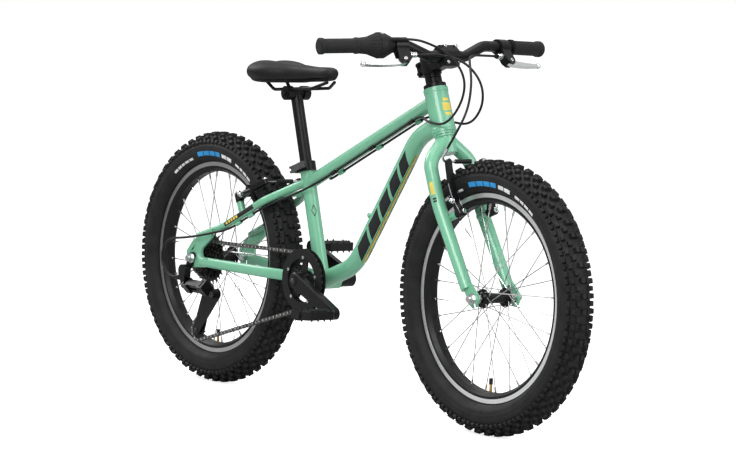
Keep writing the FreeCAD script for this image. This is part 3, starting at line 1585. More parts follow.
def tyre_shape():
    """All repeats of the tread round the wheel, sewn to one casing."""
    sector, step = tread_sector()
    open_faces = [face for face in sector.Faces if not is_cut_face(face, step)]
    strip = Part.Compound(open_faces)
    phase = step * v.knob_shift_share
    faces = []
    for index in range(int(v.tread_sectors)):
        faces.extend(strip.rotated(ORIGIN, Z_AXIS, step * index + phase).Faces)
    shell = Part.makeShell(faces)
    shell.sewShape()
    solid = Part.makeSolid(shell)
    if solid.Volume < 0:
        solid.reverse()
    return solid


def make_inner_tube(name, at_axle):
    """The tube inside the tyre and its valve, which points to the axle."""
    body = bind(doc.addObject("Part::Torus", name + "_torus"), Radius1=c.tyre_centre,
                Radius2=c.inner_tube_radius)
    body.Placement = at_axle
    stem = cylinder(name + "_valve", c.valve_radius, c.tyre_centre - c.valve_tip,
                    at_axle.multiply(pointing(Y_AXIS * v.valve_tip, Y_AXIS)))
    cap = cylinder(name + "_valve_cap", c.valve_cap_radius, c.valve_cap_length,
                   at_axle.multiply(pointing(Y_AXIS * v.valve_tip, Y_AXIS)))
    return keep(fused(name, [body, stem, cap]), name)


def hexagon_bar(start, end, radius):
    """A slim bar between two points."""
    place = pointing(start, end - start)
    turns = [FULL_TURN * index / HEXAGON for index in range(HEXAGON + 1)]
    corners = [place.multVec(Rotation(Z_AXIS, turn).multVec(X_AXIS * radius)) for turn in turns]
    return Part.Face(Part.makePolygon(corners)).extrude(end - start)


def spoke(index, flange_radius, flange_at):
    """One spoke from a hub flange to the rim, with its nipple."""
    side = LEFT if index % 2 == 0 else RIGHT
    lean = 1 if index % 4 < 2 else -1
    rim_angle = (index + 0.5) * FULL_TURN / v.spoke_count
    beside = v.flange_half + v.spoke_radius + v.spoke_seat
    hub_spot = Vector(flange_radius - v.spoke_inset, 0, side * flange_at[side] + lean * beside)
    start = Rotation(Z_AXIS, rim_angle + lean * v.spoke_cross_angle).multVec(hub_spot)
    rim_spot = Vector(v.rim_inner - v.nipple_seat, 0, side * v.spoke_rim_side)
    end = Rotation(Z_AXIS, rim_angle).multVec(rim_spot)
    back = (start - end).normalize()
    return hexagon_bar(start, end,
                       v.spoke_radius).fuse(hexagon_bar(end + back * v.nipple_length, end, v.nipple_radius))


def make_spokes(name, at_axle, flange_radius, flange_at):
    spokes = [spoke(index, flange_radius, flange_at) for index in range(int(v.spoke_count))]
    return keep(shaped(name, Part.Compound(spokes), at_axle), name)


def make_front_hub():
    bore = c.axle_radius + c.running_fit
    flange = c.front_flange_at
    root = c.front_flange_radius - c.flange_depth
    half = [(bore, c.front_hub_half), (c.hub_end_radius, c.front_hub_half),
            (c.hub_end_radius, flange + c.hub_slope), (root, flange + c.flange_half),
            (c.front_flange_radius, flange + c.flange_half), (c.front_flange_radius, flange - c.flange_half),
            (root, flange - c.flange_half), (c.front_hub_waist, flange - c.hub_slope),
            (c.front_hub_radius, NONE)]
    corners = half + [(radius, -across) for radius, across in reversed(half[:-1])]
    return keep(turned("front_hub", corners, AT_FRONT_AXLE), "front_hub")


def make_rear_hub():
    bore = c.axle_radius + c.running_fit
    left = c.rear_flange_left
    right = c.rear_flange_right
    edge = c.rear_flange_radius
    root = edge - c.flange_depth
    corners = [(bore, c.rear_hub_left), (c.hub_end_radius, c.rear_hub_left),
               (c.hub_end_radius, left + c.hub_slope),
               (root, left + c.flange_half), (edge, left + c.flange_half), (edge, left - c.flange_half),
               (root, left - c.flange_half), (c.rear_hub_radius, left - c.hub_slope),
               (c.front_hub_waist, NONE),
               (c.rear_hub_radius, c.hub_slope - right), (root, c.flange_half - right),
               (edge, c.flange_half - right), (edge, -right - c.flange_half),
               (c.rear_hub_radius, -right - c.flange_half), (c.rear_hub_radius, -c.rear_hub_right),
               (bore, -c.rear_hub_right)]
    return keep(turned("rear_hub", corners, AT_REAR_AXLE), "rear_hub")


def make_wheels():
    tread = tyre_shape()
    front_flanges = {LEFT: v.front_flange_at, RIGHT: v.front_flange_at}
    rear_flanges = {LEFT: v.rear_flange_left, RIGHT: v.rear_flange_right}
    for end, at_axle, radius, flanges in (("front", AT_FRONT_AXLE, v.front_flange_radius, front_flanges),
                                          ("rear", AT_REAR_AXLE, v.rear_flange_radius, rear_flanges)):
        keep(shaped(end + "_tyre", tread.copy(), at_axle), end + "_tyre")
        make_rim(end + "_rim", at_axle)
        make_inner_tube(end + "_inner_tube", at_axle)
        make_spokes(end + "_spokes", at_axle, radius, flanges)
    make_front_hub()
    make_rear_hub()


# Drive train. Sprockets lie in planes along the bicycle; the chain runs in one of them.

DRIVE_SIZES = {
    "pitch": 12.7,
    "roller_radius": 3.85,
    "roller_clearance": 0.3,
    "tooth_rise": 3,
    "tooth_root_half": 2.5,
    "tooth_tip_half": 0.9,
    "sprocket_thickness": 1.9,
    "chain_line": 50,
    "cog_step": 5,
    "driven_cog": 4,
    "ring_teeth": 28,
    "pulley_teeth": 11,
    "carrier_radius": 16,
    "cassette_end": 61.4,
    "cog_hole_count": 6,
    "cog_hole_radius": 6,
    "cog_hole_at": 36,
}
add_sizes(DRIVE_SIZES)
# Teeth of the cassette, from the spokes outward.
COG_TEETH = (28, 24, 22, 20, 18, 16, 14)


def pitch_radius(teeth):
    return teeth * v.pitch / (2 * math.pi)


def flat(x, z):
    """A point of the bicycle's middle plane."""
    return Vector(x, 0, z)


def sprocket_face(teeth, gap_angle):
    """The outline of a sprocket about the origin, with a gap for a roller at an angle."""
    root = pitch_radius(teeth) - v.roller_radius - v.roller_clearance
    tip = pitch_radius(teeth) + v.tooth_rise
    points = []
    for index in range(teeth):
        middle = gap_angle + (index + 0.5) * 2 * math.pi / teeth
        for radius, half in ((root, -v.tooth_root_half), (tip, -v.tooth_tip_half),
                             (tip, v.tooth_tip_half), (root, v.tooth_root_half)):
            angle = middle + half / radius
            points.append(flat(radius * math.cos(angle), radius * math.sin(angle)))
    return Part.Face(Part.makePolygon(points + points[:1]))


def disc(radius, from_y, to_y):
    """A round slab about the origin, between two places across the bicycle."""
    return Part.makeCylinder(radius, to_y - from_y, Y_AXIS * from_y, Y_AXIS)


def sprocket(teeth, gap_angle, middle_y):
    half = v.sprocket_thickness / 2
    face = sprocket_face(teeth, gap_angle)
    face.translate(Y_AXIS * (middle_y - half))
    return face.extrude(Y_AXIS * v.sprocket_thickness)


def belt_runs(circles):
    """The straight runs of a belt round circles (x, z, radius, sense): start, end and heading of each."""
    runs = []
    for first, second in zip(circles, circles[1:] + circles[:1]):
        across = (second[0] - first[0], second[1] - first[1])
        distance = math.hypot(*across)
        shift = second[3] * second[2] - first[3] * first[2]
        heading = math.atan2(across[1], across[0]) - math.asin(shift / distance)
        left = (-math.sin(heading), math.cos(heading))
        ends = [(x - sense * radius * left[0], z - sense * radius * left[1])
                for x, z, radius, sense in (first, second)]
        runs.append((ends[0], ends[1], heading))
    return runs


def belt_pieces(circles):
    """The belt as straight runs and arcs in order, each with its length, kind, place, heading and turn."""
    runs = belt_runs(circles)
    pieces = []
    for index, (start, end, heading) in enumerate(runs):
        length = math.dist(start, end)
        pieces.append((length, "run", start, heading, None))
        x, z, radius, sense = circles[(index + 1) % len(circles)]
        following = runs[(index + 1) % len(runs)][2]
        turn = (sense * (following - heading)) % (2 * math.pi)
        pieces.append((radius * turn, "arc", (x, z, radius, sense), heading, turn))
    return pieces


def belt_point(pieces, travel):
    """The point at a distance along the belt."""
    travel %= sum(piece[0] for piece in pieces)
    for length, kind, origin, heading, turn in pieces:
        if travel <= length:
            break
        travel -= length
    if kind == "run":
        return flat(origin[0] + travel * math.cos(heading), origin[1] + travel * math.sin(heading))
    x, z, radius, sense = origin
    angle = heading + sense * travel / radius
    return flat(x + sense * radius * math.sin(angle), z - sense * radius * math.cos(angle))


def belt_face(circles):
    """The flat shape inside a belt drawn tight round circles."""
    edges = []
    pieces = belt_pieces([(x, z, radius, 1) for x, z, radius in circles])
    travel = 0.0
    for length, kind, origin, heading, turn in pieces:
        ends = [belt_point(pieces, travel + share * length) for share in (0.0, 0.5, 1.0)]
        if kind == "run":
            edges.append(Part.LineSegment(ends[0], ends[2]).toShape())
        else:
            edges.append(Part.Arc(*ends).toShape())
        travel += length
    return Part.Face(Part.Wire(edges))


def strap(circles, from_y, to_y):
    """A flat link whose outline is drawn round circles (x, z, radius)."""
    face = belt_face(circles)
    face.translate(Y_AXIS * from_y)
    return face.extrude(Y_AXIS * (to_y - from_y))


# Rear derailleur. Places are measured from the rear axle.

CAGE_SIZES = {
    "cage_pivot": (71, -67, -72),
    "guide_from_pivot": (-48, 0, -5),
    "tension_from_pivot": (-68, 0, -90),
    "cage_gap": 6,
    "cage_plate": 2,
    "cage_eye": 11,
    "cage_guide_eye": 5,
    "cage_pin_radius": 2.5,
    "cage_bolt_radius": 4,
    "pulley_hub_radius": 7,
    "pulley_hub_half": 5.6,
    "chain_turn_limit": 20,
    "chain_link_plate": 0.95,
    "chain_inner_half": 1.25,
    "chain_outer_half": 2.35,
    "chain_plate_end": 4.1,
    "chain_plate_waist": 3.2,
}
add_sizes(CAGE_SIZES)


def cage_points(turn):
    """Guide and tension pulley centres (x, z) with the cage turned by an angle about its pivot."""
    pivot = REAR_AXLE + spot("cage_pivot")
    spin = Rotation(Y_AXIS, -math.degrees(turn))
    return [pivot + spin.multVec(spot(name)) for name in ("guide_from_pivot", "tension_from_pivot")]


def chain_circles(turn):
    guide, tension = cage_points(turn)
    pulley = pitch_radius(v.pulley_teeth)
    driven = COG_TEETH[int(v.driven_cog)]
    return [(BRACKET.x, BRACKET.z, pitch_radius(v.ring_teeth), 1),
            (REAR_AXLE.x, REAR_AXLE.z, pitch_radius(driven), 1),
            (guide.x, guide.z, pulley, -1), (tension.x, tension.z, pulley, 1)]


def chain_length(turn):
    return sum(piece[0] for piece in belt_pieces(chain_circles(turn)))


def settle_chain():
    """The turn of the cage at which the chain is a whole even number of links, and that number."""
    low = -math.radians(v.chain_turn_limit)
    high = -low
    count = 2 * round(chain_length(0.0) / v.pitch / 2)
    rising = chain_length(high) > chain_length(low)
    while high - low > SETTLED:
        middle = (low + high) / 2
        longer = chain_length(middle) > count * v.pitch
        if longer == rising:
            high = middle
        else:
            low = middle
    return low, count


CAGE_TURN, LINK_COUNT = settle_chain()
CHAIN_PIECES = belt_pieces(chain_circles(CAGE_TURN))


def pin_places():
    return [belt_point(CHAIN_PIECES, index * v.pitch) for index in range(LINK_COUNT)]


def gap_angle(centre, radius):
    """The angle about a sprocket's centre of a chain pin that lies on its pitch circle."""
    nearest = min(pin_places(), key=lambda pin: abs(math.hypot(pin.x - centre.x, pin.z - centre.z) - radius))
    return math.atan2(nearest.z - centre.z, nearest.x - centre.x)


def link_plate(from_y, to_y):
    """One plate of a link along X, waisted between two round ends of straight facets."""
    half = v.pitch / 2
    end = v.chain_plate_end
    corner = end * math.sin(math.pi / 4)
    outline = [flat(-half - corner, -corner), flat(-half, -end), flat(0, -v.chain_plate_waist),
               flat(half, -end),
               flat(half + corner, -corner), flat(half + corner, corner), flat(half, end),
               flat(0, v.chain_plate_waist), flat(-half, end), flat(-half - corner, corner)]
    face = Part.Face(Part.makePolygon(outline + outline[:1]))
    face.translate(Y_AXIS * from_y)
    return face.extrude(Y_AXIS * (to_y - from_y))


def octagon_bar(centre, radius, half):
    """A short roller across the chain, drawn with eight facets round its true size."""
    corners = []
    for index in range(OCTAGON + 1):
        angle = (2 * index + 1) * math.pi / OCTAGON
        corners.append(centre + flat(radius * math.cos(angle), radius * math.sin(angle)) - Y_AXIS * half)
    return Part.Face(Part.makePolygon(corners)).extrude(Y_AXIS * (2 * half))


def inner_link():
    inside = v.chain_inner_half
    outside = inside + v.chain_link_plate
    plates = [link_plate(-outside, -inside), link_plate(inside, outside)]
    rollers = [octagon_bar(flat(end * v.pitch / 2, 0), v.roller_radius, inside) for end in (1, -1)]
    return [plates[0].fuse(rollers + plates[1:])]


def outer_link():
    inside = v.chain_outer_half
    outside = inside + v.chain_link_plate
    return [link_plate(-outside, -inside), link_plate(inside, outside)]


def make_chain():
    """Inner and outer links by turns, each laid between two pins of the path."""
    prototypes = (inner_link(), outer_link())
    pins = pin_places()
    solids = []
    for index, (first, second) in enumerate(zip(pins, pins[1:] + pins[:1])):
        along = second - first
        middle = (first + second) * 0.5 - Y_AXIS * v.chain_line
        turn = Rotation(Y_AXIS, -math.degrees(math.atan2(along.z, along.x)))
        place = Placement(middle, turn).toMatrix()
        solids.extend(solid.transformed(place) for solid in prototypes[index % 2])
    return keep(shaped("chain", Part.Compound(solids)), "chain")


def make_cassette():
    """Seven sprockets on a carrier that runs on the axle."""
    phase = gap_angle(REAR_AXLE, pitch_radius(COG_TEETH[int(v.driven_cog)]))
    inner_face = -v.rear_hub_right - v.air_gap
    body = disc(v.carrier_radius, -v.cassette_end, inner_face)
    for index, teeth in enumerate(COG_TEETH):
        middle = -v.chain_line + (v.driven_cog - index) * v.cog_step
        cog = sprocket(teeth, phase, middle)
        if index == 0:
            cog = cog.cut(cog_holes(middle))
        body = body.fuse(cog)
    body = body.cut(disc(v.axle_radius + v.running_fit, -v.cassette_end - v.overrun, inner_face + v.overrun))
    return keep(shaped("cassette", body, Placement(REAR_AXLE, Rotation())), "cassette")


def cog_holes(middle):
    holes = []
    for index in range(int(v.cog_hole_count)):
        hole = disc(v.cog_hole_radius, middle - v.overrun, middle + v.overrun)
        hole.translate(X_AXIS * v.cog_hole_at)
        holes.append(hole.rotated(ORIGIN, Y_AXIS, FULL_TURN / v.cog_hole_count * index))
    return Part.Compound(holes)


def make_pulley(name, centre):
    """A toothed jockey wheel on a hub that fills the cage."""
    teeth = int(v.pulley_teeth)
    wheel = sprocket(teeth, gap_angle(centre, pitch_radius(teeth)), 0)
    hub = disc(v.pulley_hub_radius, -v.pulley_hub_half, v.pulley_hub_half)
    bore = disc(v.cage_pin_radius + v.running_fit, -v.pulley_hub_half - v.overrun,
                v.pulley_hub_half + v.overrun)
    place = Placement(Vector(centre.x, -v.chain_line, centre.z), Rotation())
    return keep(shaped(name, wheel.fuse(hub).cut(bore), place), name)


def make_cage():
    """Two plates that carry the jockey wheels on pins, hung on a bolt from the knuckle."""
    pivot = REAR_AXLE + spot("cage_pivot")
    wheels = [(point.x, point.z, v.cage_eye) for point in cage_points(CAGE_TURN)]
    line = -v.chain_line
    outer_face = line - v.cage_gap - v.cage_plate
    inner_face = line + v.cage_gap + v.cage_plate
    guide_x, guide_z, eye = wheels[0]
    outer_eyes = [(pivot.x, pivot.z, eye), (guide_x, guide_z, v.cage_guide_eye), wheels[1]]
    outer = strap(around(outer_eyes), outer_face, line - v.cage_gap)
    inner = strap(around(wheels), line + v.cage_gap, inner_face)
    pins = []
    for x, z, radius in wheels:
        pins.append(rod(Vector(x, outer_face, z), Vector(x, inner_face, z), v.cage_pin_radius))
    bolt = rod(Vector(pivot.x, pivot.y - v.knuckle_depth, pivot.z),
               Vector(pivot.x, line - v.cage_gap, pivot.z),
               v.cage_bolt_radius)
    return keep(shaped("derailleur_cage", outer.fuse([inner, bolt] + pins)), "derailleur_cage")


def around(circles):
    """Circles in the order that a belt round them takes, turning left."""
    middle_x = sum(circle[0] for circle in circles) / len(circles)
    middle_z = sum(circle[1] for circle in circles) / len(circles)
    return sorted(circles, key=lambda circle: math.atan2(circle[1] - middle_z, circle[0] - middle_x))


LINKAGE_SIZES = {
    "knuckle_depth": 8,
    "knuckle_radius": 10,
    "link_slant": 45,
    "link_length": 48,
    "link_half_gap": 8,
    "link_radius": 4.5,
    "link_half_width": 8,
    "link_pin_radius": 2.2,
    "link_open_fit": 0.2,
    "cheek_gap": 0.6,
    "cheek_thickness": 3,
    "cheek_reach": 13,
    "cheek_back": 13,
    "cheek_front": 5,
    "wall_from": 8,
    "link_root": (4, -81.4, -59.5),
    "body_radius": 13,
    "body_depth": 15,
    "cable_boss_radius": 5,
    "cable_boss_length": 17,
    "cable_boss": (-27, -86, -45),
}
add_sizes(LINKAGE_SIZES)


def linkage_frame():
    """Frame of the linkage at its rear: X along the links, Y their pins, Z the way that they swing."""
    slant = math.radians(v.link_slant)
    pins = Vector(0, math.cos(slant), math.sin(slant))
    return Placement(REAR_AXLE + spot("link_root"), Rotation(X_AXIS, pins, ORIGIN, "XYZ"))


def make_link(name, level, front_fit):
    """One bar of the linkage, bored for a pin at each end."""
    frame = linkage_frame()
    height = level * v.link_half_gap
    bar = strap(around([(0, 0, v.link_radius), (v.link_length, 0, v.link_radius)]), -v.link_half_width,
                v.link_half_width)
    for x, fit in ((0, v.running_fit), (v.link_length, front_fit)):
        bore = disc(v.link_pin_radius + fit, -v.link_half_width - v.overrun, v.link_half_width + v.overrun)
        bore.translate(X_AXIS * x)
        bar = bar.cut(bore)
    return keep(shaped(name, bar, frame.multiply(Placement(Z_AXIS * height, Rotation()))), name)


def clevis(facing):
    """Two cheeks, the wall that joins them and a pin for each link, open towards the links."""
    start = v.link_half_width + v.cheek_gap
    end = start + v.cheek_thickness
    low_x, high_x = sorted((-facing * v.cheek_front, facing * v.cheek_back))
    cheeks = [Part.makeBox(high_x - low_x, v.cheek_thickness, 2 * v.cheek_reach,
                           Vector(low_x, y, -v.cheek_reach))
              for y in (start, -end)]
    wall_low, wall_high = sorted((facing * v.wall_from, facing * v.cheek_back))
    wall = Part.makeBox(wall_high - wall_low, 2 * end, 2 * v.cheek_reach,
                        Vector(wall_low, -end, -v.cheek_reach))
    pins = []
    for level in (1, -1):
        pin = disc(v.link_pin_radius, -end, end)
        pin.translate(Z_AXIS * (level * v.link_half_gap))
        pins.append(pin)
    return wall.fuse(cheeks + pins)


def make_derailleur_body():
    """The knuckle on the hanger, its bolt, the rear clevis and the boss for the cable."""
    frame = linkage_frame()
    holder = clevis(-1).transformed(frame.toMatrix())
    bolt_at = REAR_AXLE + flat(-v.hanger_back, -v.hanger_drop)
    inner = v.dropout_inner + v.dropout_thickness
    outer = inner + v.hanger_thickness
    bolt = rod(bolt_at - Y_AXIS * inner, bolt_at - Y_AXIS * (outer + v.body_depth), v.hanger_bolt_radius)
    knuckle = rod(bolt_at - Y_AXIS * outer, bolt_at - Y_AXIS * (outer + v.body_depth), v.body_radius)
    rear_wall = frame.multVec(Vector(-v.cheek_back, 0, 0))
    arm = strap(around([(bolt_at.x, bolt_at.z, v.body_radius),
                        (rear_wall.x, rear_wall.z, v.body_radius / 2)]),
                -outer - v.body_depth, -outer)
    boss_at = REAR_AXLE + spot("cable_boss")
    boss = rod(boss_at, boss_at - X_AXIS * v.cable_boss_length, v.cable_boss_radius)
    neck = strap(around([(bolt_at.x, bolt_at.z, v.cable_boss_radius),
                         (boss_at.x, boss_at.z, v.cable_boss_radius)]),
                 boss_at.y - v.cable_boss_radius, boss_at.y + v.cable_boss_radius)
    links_room = links_space(frame)
    body = bolt.fuse([knuckle, arm, boss, neck]).cut(links_room).fuse(holder)
    return keep(shaped("derailleur_body", largest(body)), "derailleur_body")


def links_space(frame):
    """The room that the swinging links need in front of the rear wall."""
    end = v.link_half_width + v.cheek_gap
    room = Part.makeBox(v.link_length, 2 * end, 2 * v.link_length,
                        Vector(-v.wall_from, -end, -v.link_length))
    return room.transformed(frame.toMatrix())


def make_derailleur_knuckle():
    """The front clevis, and the housing that the cage turns in."""
    frame = linkage_frame().multiply(Placement(X_AXIS * v.link_length, Rotation()))
    holder = clevis(1).transformed(frame.toMatrix())
    pivot = REAR_AXLE + spot("cage_pivot")
    inner = -v.chain_line - v.cage_gap - v.cage_plate - v.air_gap
    end = pivot.y - v.knuckle_depth
    housing = rod(Vector(pivot.x, end, pivot.z), Vector(pivot.x, inner, pivot.z), v.knuckle_radius)
    bore = rod(Vector(pivot.x, end - v.overrun, pivot.z), Vector(pivot.x, inner + v.overrun, pivot.z),
               v.cage_bolt_radius + v.running_fit)
    body = housing.fuse(holder).cut(bore)
    return keep(shaped("derailleur_knuckle", largest(body)), "derailleur_knuckle")


def make_derailleur():
    make_derailleur_body()
    make_link("derailleur_outer_link", 1, v.running_fit)
    make_link("derailleur_inner_link", -1, v.link_open_fit)
    make_derailleur_knuckle()
    make_cage()
    for name, centre in zip(("guide_pulley", "tension_pulley"), cage_points(CAGE_TURN)):
        make_pulley(name, centre)


# Cranks, chainring and pedals

CRANK_SIZES = {
    "crank_length": 140,
    "crank_angle": 23.5,
    "crank_inner": 63,
    "crank_thickness": 15,
    "crank_hub_radius": 17,
    "crank_tip_radius": 13,
    "crank_bevel": 3,
    "crank_hub_inner": 44,
    "spindle_half": 68,
    "pedal_spindle_radius": 6,
    "pedal_collar_radius": 9,
    "pedal_collar_height": 7,
    "pedal_length": 64,
    "pedal_width": 76,
    "pedal_height": 17,
    "pedal_corner": 9,
    "pedal_barrel_radius": 11,
    "pedal_window_in": 14,
    "pedal_window_out": 26,
    "pedal_window_end": 11,
    "pedal_cap_radius": 9,
    "pedal_cap_height": 4,
    "ring_inner": 46,
    "ring_arm_count": 5,
    "ring_arm_half_width": 8,
    "ring_arm_half": 2,
    "guard_radius": 65.5,
    "guard_inner": 46,
    "guard_gap": 4.5,
    "guard_thickness": 2.5,
    "ring_bolt_at": 48,
    "ring_bolt_radius": 3.6,
    "ring_bolt_head": 1.4,
}
add_sizes(CRANK_SIZES)


def crank_place(side):
    """At the spindle, with X along the crank arm."""
    angle = v.crank_angle if side == RIGHT else v.crank_angle + 180
    return Placement(BRACKET, Rotation(Y_AXIS, angle))


def crank_arm(side):
    """The arm, drawn round its two ends and bevelled on its outer face."""
    outer = v.crank_inner + v.crank_thickness
    sections = []
    for at, inset in ((v.crank_inner, 0.0), (outer - v.crank_bevel, 0.0), (outer, v.crank_bevel)):
        ends = [(0, 0, v.crank_hub_radius - inset), (v.crank_length, 0, v.crank_tip_radius - inset)]
        outline = belt_face(ends).OuterWire
        outline.translate(Y_AXIS * at)
        sections.append(outline)
    arm = Part.makeLoft(sections, True, True)
    if side == RIGHT:
        arm = arm.mirror(ORIGIN, Y_AXIS)
    return shaped("crank_left_arm" if side == LEFT else "crank_right_arm", arm, crank_place(side))


def side_rod(name, side, x, radius, start, end):
    """A round bar across the bicycle from one distance to another, on one side and along the crank at x."""
    place = crank_place(side).multiply(pointing(Vector(x, side * start.value, 0), Y_AXIS * side))
    return cylinder(name, radius, end - start, place)


def make_crank(side):
    label = "crank_left" if side == LEFT else "crank_right"
    outer = c.crank_inner + c.crank_thickness
    hub = side_rod(label + "_hub", side, 0, c.crank_hub_radius, c.crank_hub_inner, c.crank_inner)
    collar_end = outer + c.pedal_collar_height
    collar = side_rod(label + "_collar", side, v.crank_length, c.pedal_collar_radius, outer, collar_end)
    pedal_spindle = side_rod(label + "_pedal_spindle", side, v.crank_length, c.pedal_spindle_radius,
                             collar_end,
                             collar_end + c.pedal_width)
    pieces = [crank_arm(side), hub, collar, pedal_spindle]
    whole = fused(label + "_blank", pieces)
    if side == RIGHT:
        return keep(fused(label, [whole, side_rod("spindle", RIGHT, 0, c.spindle_radius, -c.spindle_half,
                                                  c.crank_inner)]), label)
    bore = side_rod("spindle_bore", LEFT, 0, c.spindle_radius, NONE, c.spindle_half)
    return keep(cut(label, whole, bore), label)


def make_pedal(side):
    """A platform pedal: an open frame round a barrel that turns on the spindle."""
    label = "pedal_left" if side == LEFT else "pedal_right"
    inner = v.crank_inner + v.crank_thickness + v.pedal_collar_height + v.air_gap
    centre = crank_place(side).multVec(Vector(v.crank_length, side * inner, 0))
    facing = Rotation() if side == LEFT else Rotation(Z_AXIS, 180)
    place = Placement(centre, facing)
    half = c.pedal_length.half()
    width = c.pedal_width
    corner = c.pedal_corner
    corners = [(corner - half, NONE), (half - corner, NONE), (half, corner), (half, width - corner),
               (half - corner, width), (corner - half, width), (-half, width - corner), (-half, corner)]
    near = c.pedal_window_in
    far = c.pedal_window_out
    end = c.pedal_window_end
    windows = []
    for low, high in ((near, far), (-far, -near)):
        windows.append([(low, end), (high, end), (high, width - end), (low, width - end)])
    frame = plate(label + "_frame", "XY_Plane", corners, c.pedal_height, (), place, windows)
    barrel = cylinder(label + "_barrel", c.pedal_barrel_radius, width,
                      place.multiply(pointing(ORIGIN, Y_AXIS)))
    bore = cylinder(label + "_bore", c.pedal_spindle_radius + c.running_fit, width,
                    place.multiply(pointing(ORIGIN, Y_AXIS)))
    cap = cylinder(label + "_cap", c.pedal_cap_radius, c.pedal_cap_height,
                   place.multiply(pointing(Y_AXIS * v.pedal_width, Y_AXIS)))
    body = cut(label + "_bored", fused(label + "_blank", [frame, barrel]), bore)
    return keep(fused(label, [body, cap]), label)


def make_chainring():
    """The toothed ring on five arms between two guard rings, all held by the same bolts."""
    line = -v.chain_line
    phase = gap_angle(BRACKET, pitch_radius(v.ring_teeth))
    turn = math.radians(v.crank_angle)
    whole = sprocket(int(v.ring_teeth), phase,
                     line).cut(disc(v.ring_inner, line - v.overrun, line + v.overrun))
    for start in (line + v.guard_gap, line - v.guard_gap - v.guard_thickness):
        guard = disc(v.guard_radius, start, start + v.guard_thickness)
        whole = whole.fuse(guard.cut(disc(v.guard_inner, start - v.overrun,
                                          start + v.guard_thickness + v.overrun)))
    step = FULL_TURN / v.ring_arm_count
    reach = v.guard_gap + v.guard_thickness + v.ring_bolt_head
    for index in range(int(v.ring_arm_count)):
        arm = Part.makeBox(v.ring_bolt_at, 2 * v.ring_arm_half, 2 * v.ring_arm_half_width,
                           Vector(0, line - v.ring_arm_half, -v.ring_arm_half_width))
        bolt = disc(v.ring_bolt_radius, line - reach, line + reach)
        bolt.translate(X_AXIS * v.ring_bolt_at)
        for piece in (arm, bolt):
            whole = whole.fuse(piece.rotated(ORIGIN, Y_AXIS, math.degrees(turn) + step * (index + 0.5)))
    whole = whole.cut(disc(v.crank_hub_radius, line - v.overrun, line + v.overrun))
    return keep(shaped("chainring", whole, Placement(BRACKET, Rotation())), "chainring")


# Rim brakes. Lengths lie in the frame of a brake: X along its pivots, Y across, Z up the arms.

BRAKE_SIZES = {
    "pad_height": 25,
    "pad_radius": 201.5,
    "pad_gap": 1.5,
    "pad_depth": 9,
    "pad_rise": 10,
    "pad_arc": 15,
    "pad_stud_radius": 4,
    "arm_from": 3,
    "arm_to": 13,
    "arm_hub_radius": 9,
    "arm_hub_to": 20,
    "arm_foot": (40, 8, 0),
    "arm_knee": (47, 7, 30),
    "arm_waist": (48, 6, 62),
    "arm_head": (44, 5.5, 105),
    "noodle_radius": 2.5,
    "noodle_bend": 20,
    "noodle_out": 66,
    "noodle_rise": 36,
    "front_noodle_lean": 60,
    "rear_noodle_lean": 0,
    "noodle_end": 22,
    "noodle_ferrule_radius": 3.6,
    "noodle_ferrule_length": 9,
    "boot_radius": 4.6,
    "boot_from": -26,
    "boot_to": 14,
    "wire_radius": 0.8,
    "wire_end": -8,
    "anchor_radius": 5,
    "anchor_proud": 3,
}
add_sizes(BRAKE_SIZES)


def arm_depth():
    return (v.arm_from + v.arm_to) / 2


def turned_strap(circles, from_x, to_x):
    """A flat link drawn in the plane across the bicycle."""
    return strap(around(circles), -to_x, -from_x).rotated(ORIGIN, Z_AXIS, FULL_TURN / 4)


def arm_stations():
    """Middle, radius and height of the round places that an arm is drawn through."""
    points = [spot(name) for name in ("arm_foot", "arm_knee", "arm_waist", "arm_head")]
    return [(point.x, point.z, point.y) for point in points]


def brake_pad(axle):
    """A curved block beside the rim, and the stud that holds it."""
    height = v.pad_height - axle.z
    ahead = axle.x + math.sqrt(v.pad_radius ** 2 - height ** 2)
    start = v.rim_half_width + v.pad_gap
    base = Vector(axle.x, start, axle.z)
    outer = v.pad_radius + v.pad_rise / 2
    block = Part.makeCylinder(outer, v.pad_depth, base, Y_AXIS, v.pad_arc)
    block = largest(block.cut(Part.makeCylinder(outer - v.pad_rise, v.pad_depth, base, Y_AXIS)))
    middle = block.CenterOfMass - base
    wanted = math.atan2(height, ahead - axle.x)
    turn = math.atan2(middle.z, middle.x) - wanted
    block = block.rotated(base, Y_AXIS, math.degrees(turn))
    foot = Vector(ahead, start + v.pad_depth / 2, v.pad_height)
    stud = rod(foot, Vector(ahead, v.arm_knee_x, v.pad_height), v.pad_stud_radius)
    return block.fuse(stud)


def brake_arm_blank(axle):
    """The arm of the left side: a hub on the pivot pin and a tapering blade with its pad."""
    stations = arm_stations()
    pivot = Vector(0, v.brake_pivot_half_width, 0)
    hub = rod(pivot + X_AXIS * v.air_gap, pivot + X_AXIS * v.arm_hub_to, v.arm_hub_radius)
    straps = [turned_strap(pair, v.arm_from, v.arm_to) for pair in zip(stations, stations[1:])]
    bore = rod(pivot, pivot + X_AXIS * (v.boss_pin_length + v.overrun), v.boss_pin_radius + v.running_fit)
    return hub.fuse(straps + [brake_pad(axle)]).cut(bore)


def noodle_path(lean):
    """The bent guide from its open end to the bellows, leaning forward by an angle."""
    depth = arm_depth()
    level = v.arm_head_z
    corner = Vector(depth, -v.noodle_out, level)
    rise = Rotation(Y_AXIS, lean).multVec(Z_AXIS * v.noodle_rise)
    return bent_path([corner + rise, corner, Vector(depth, -v.noodle_end, level)], [v.noodle_bend])


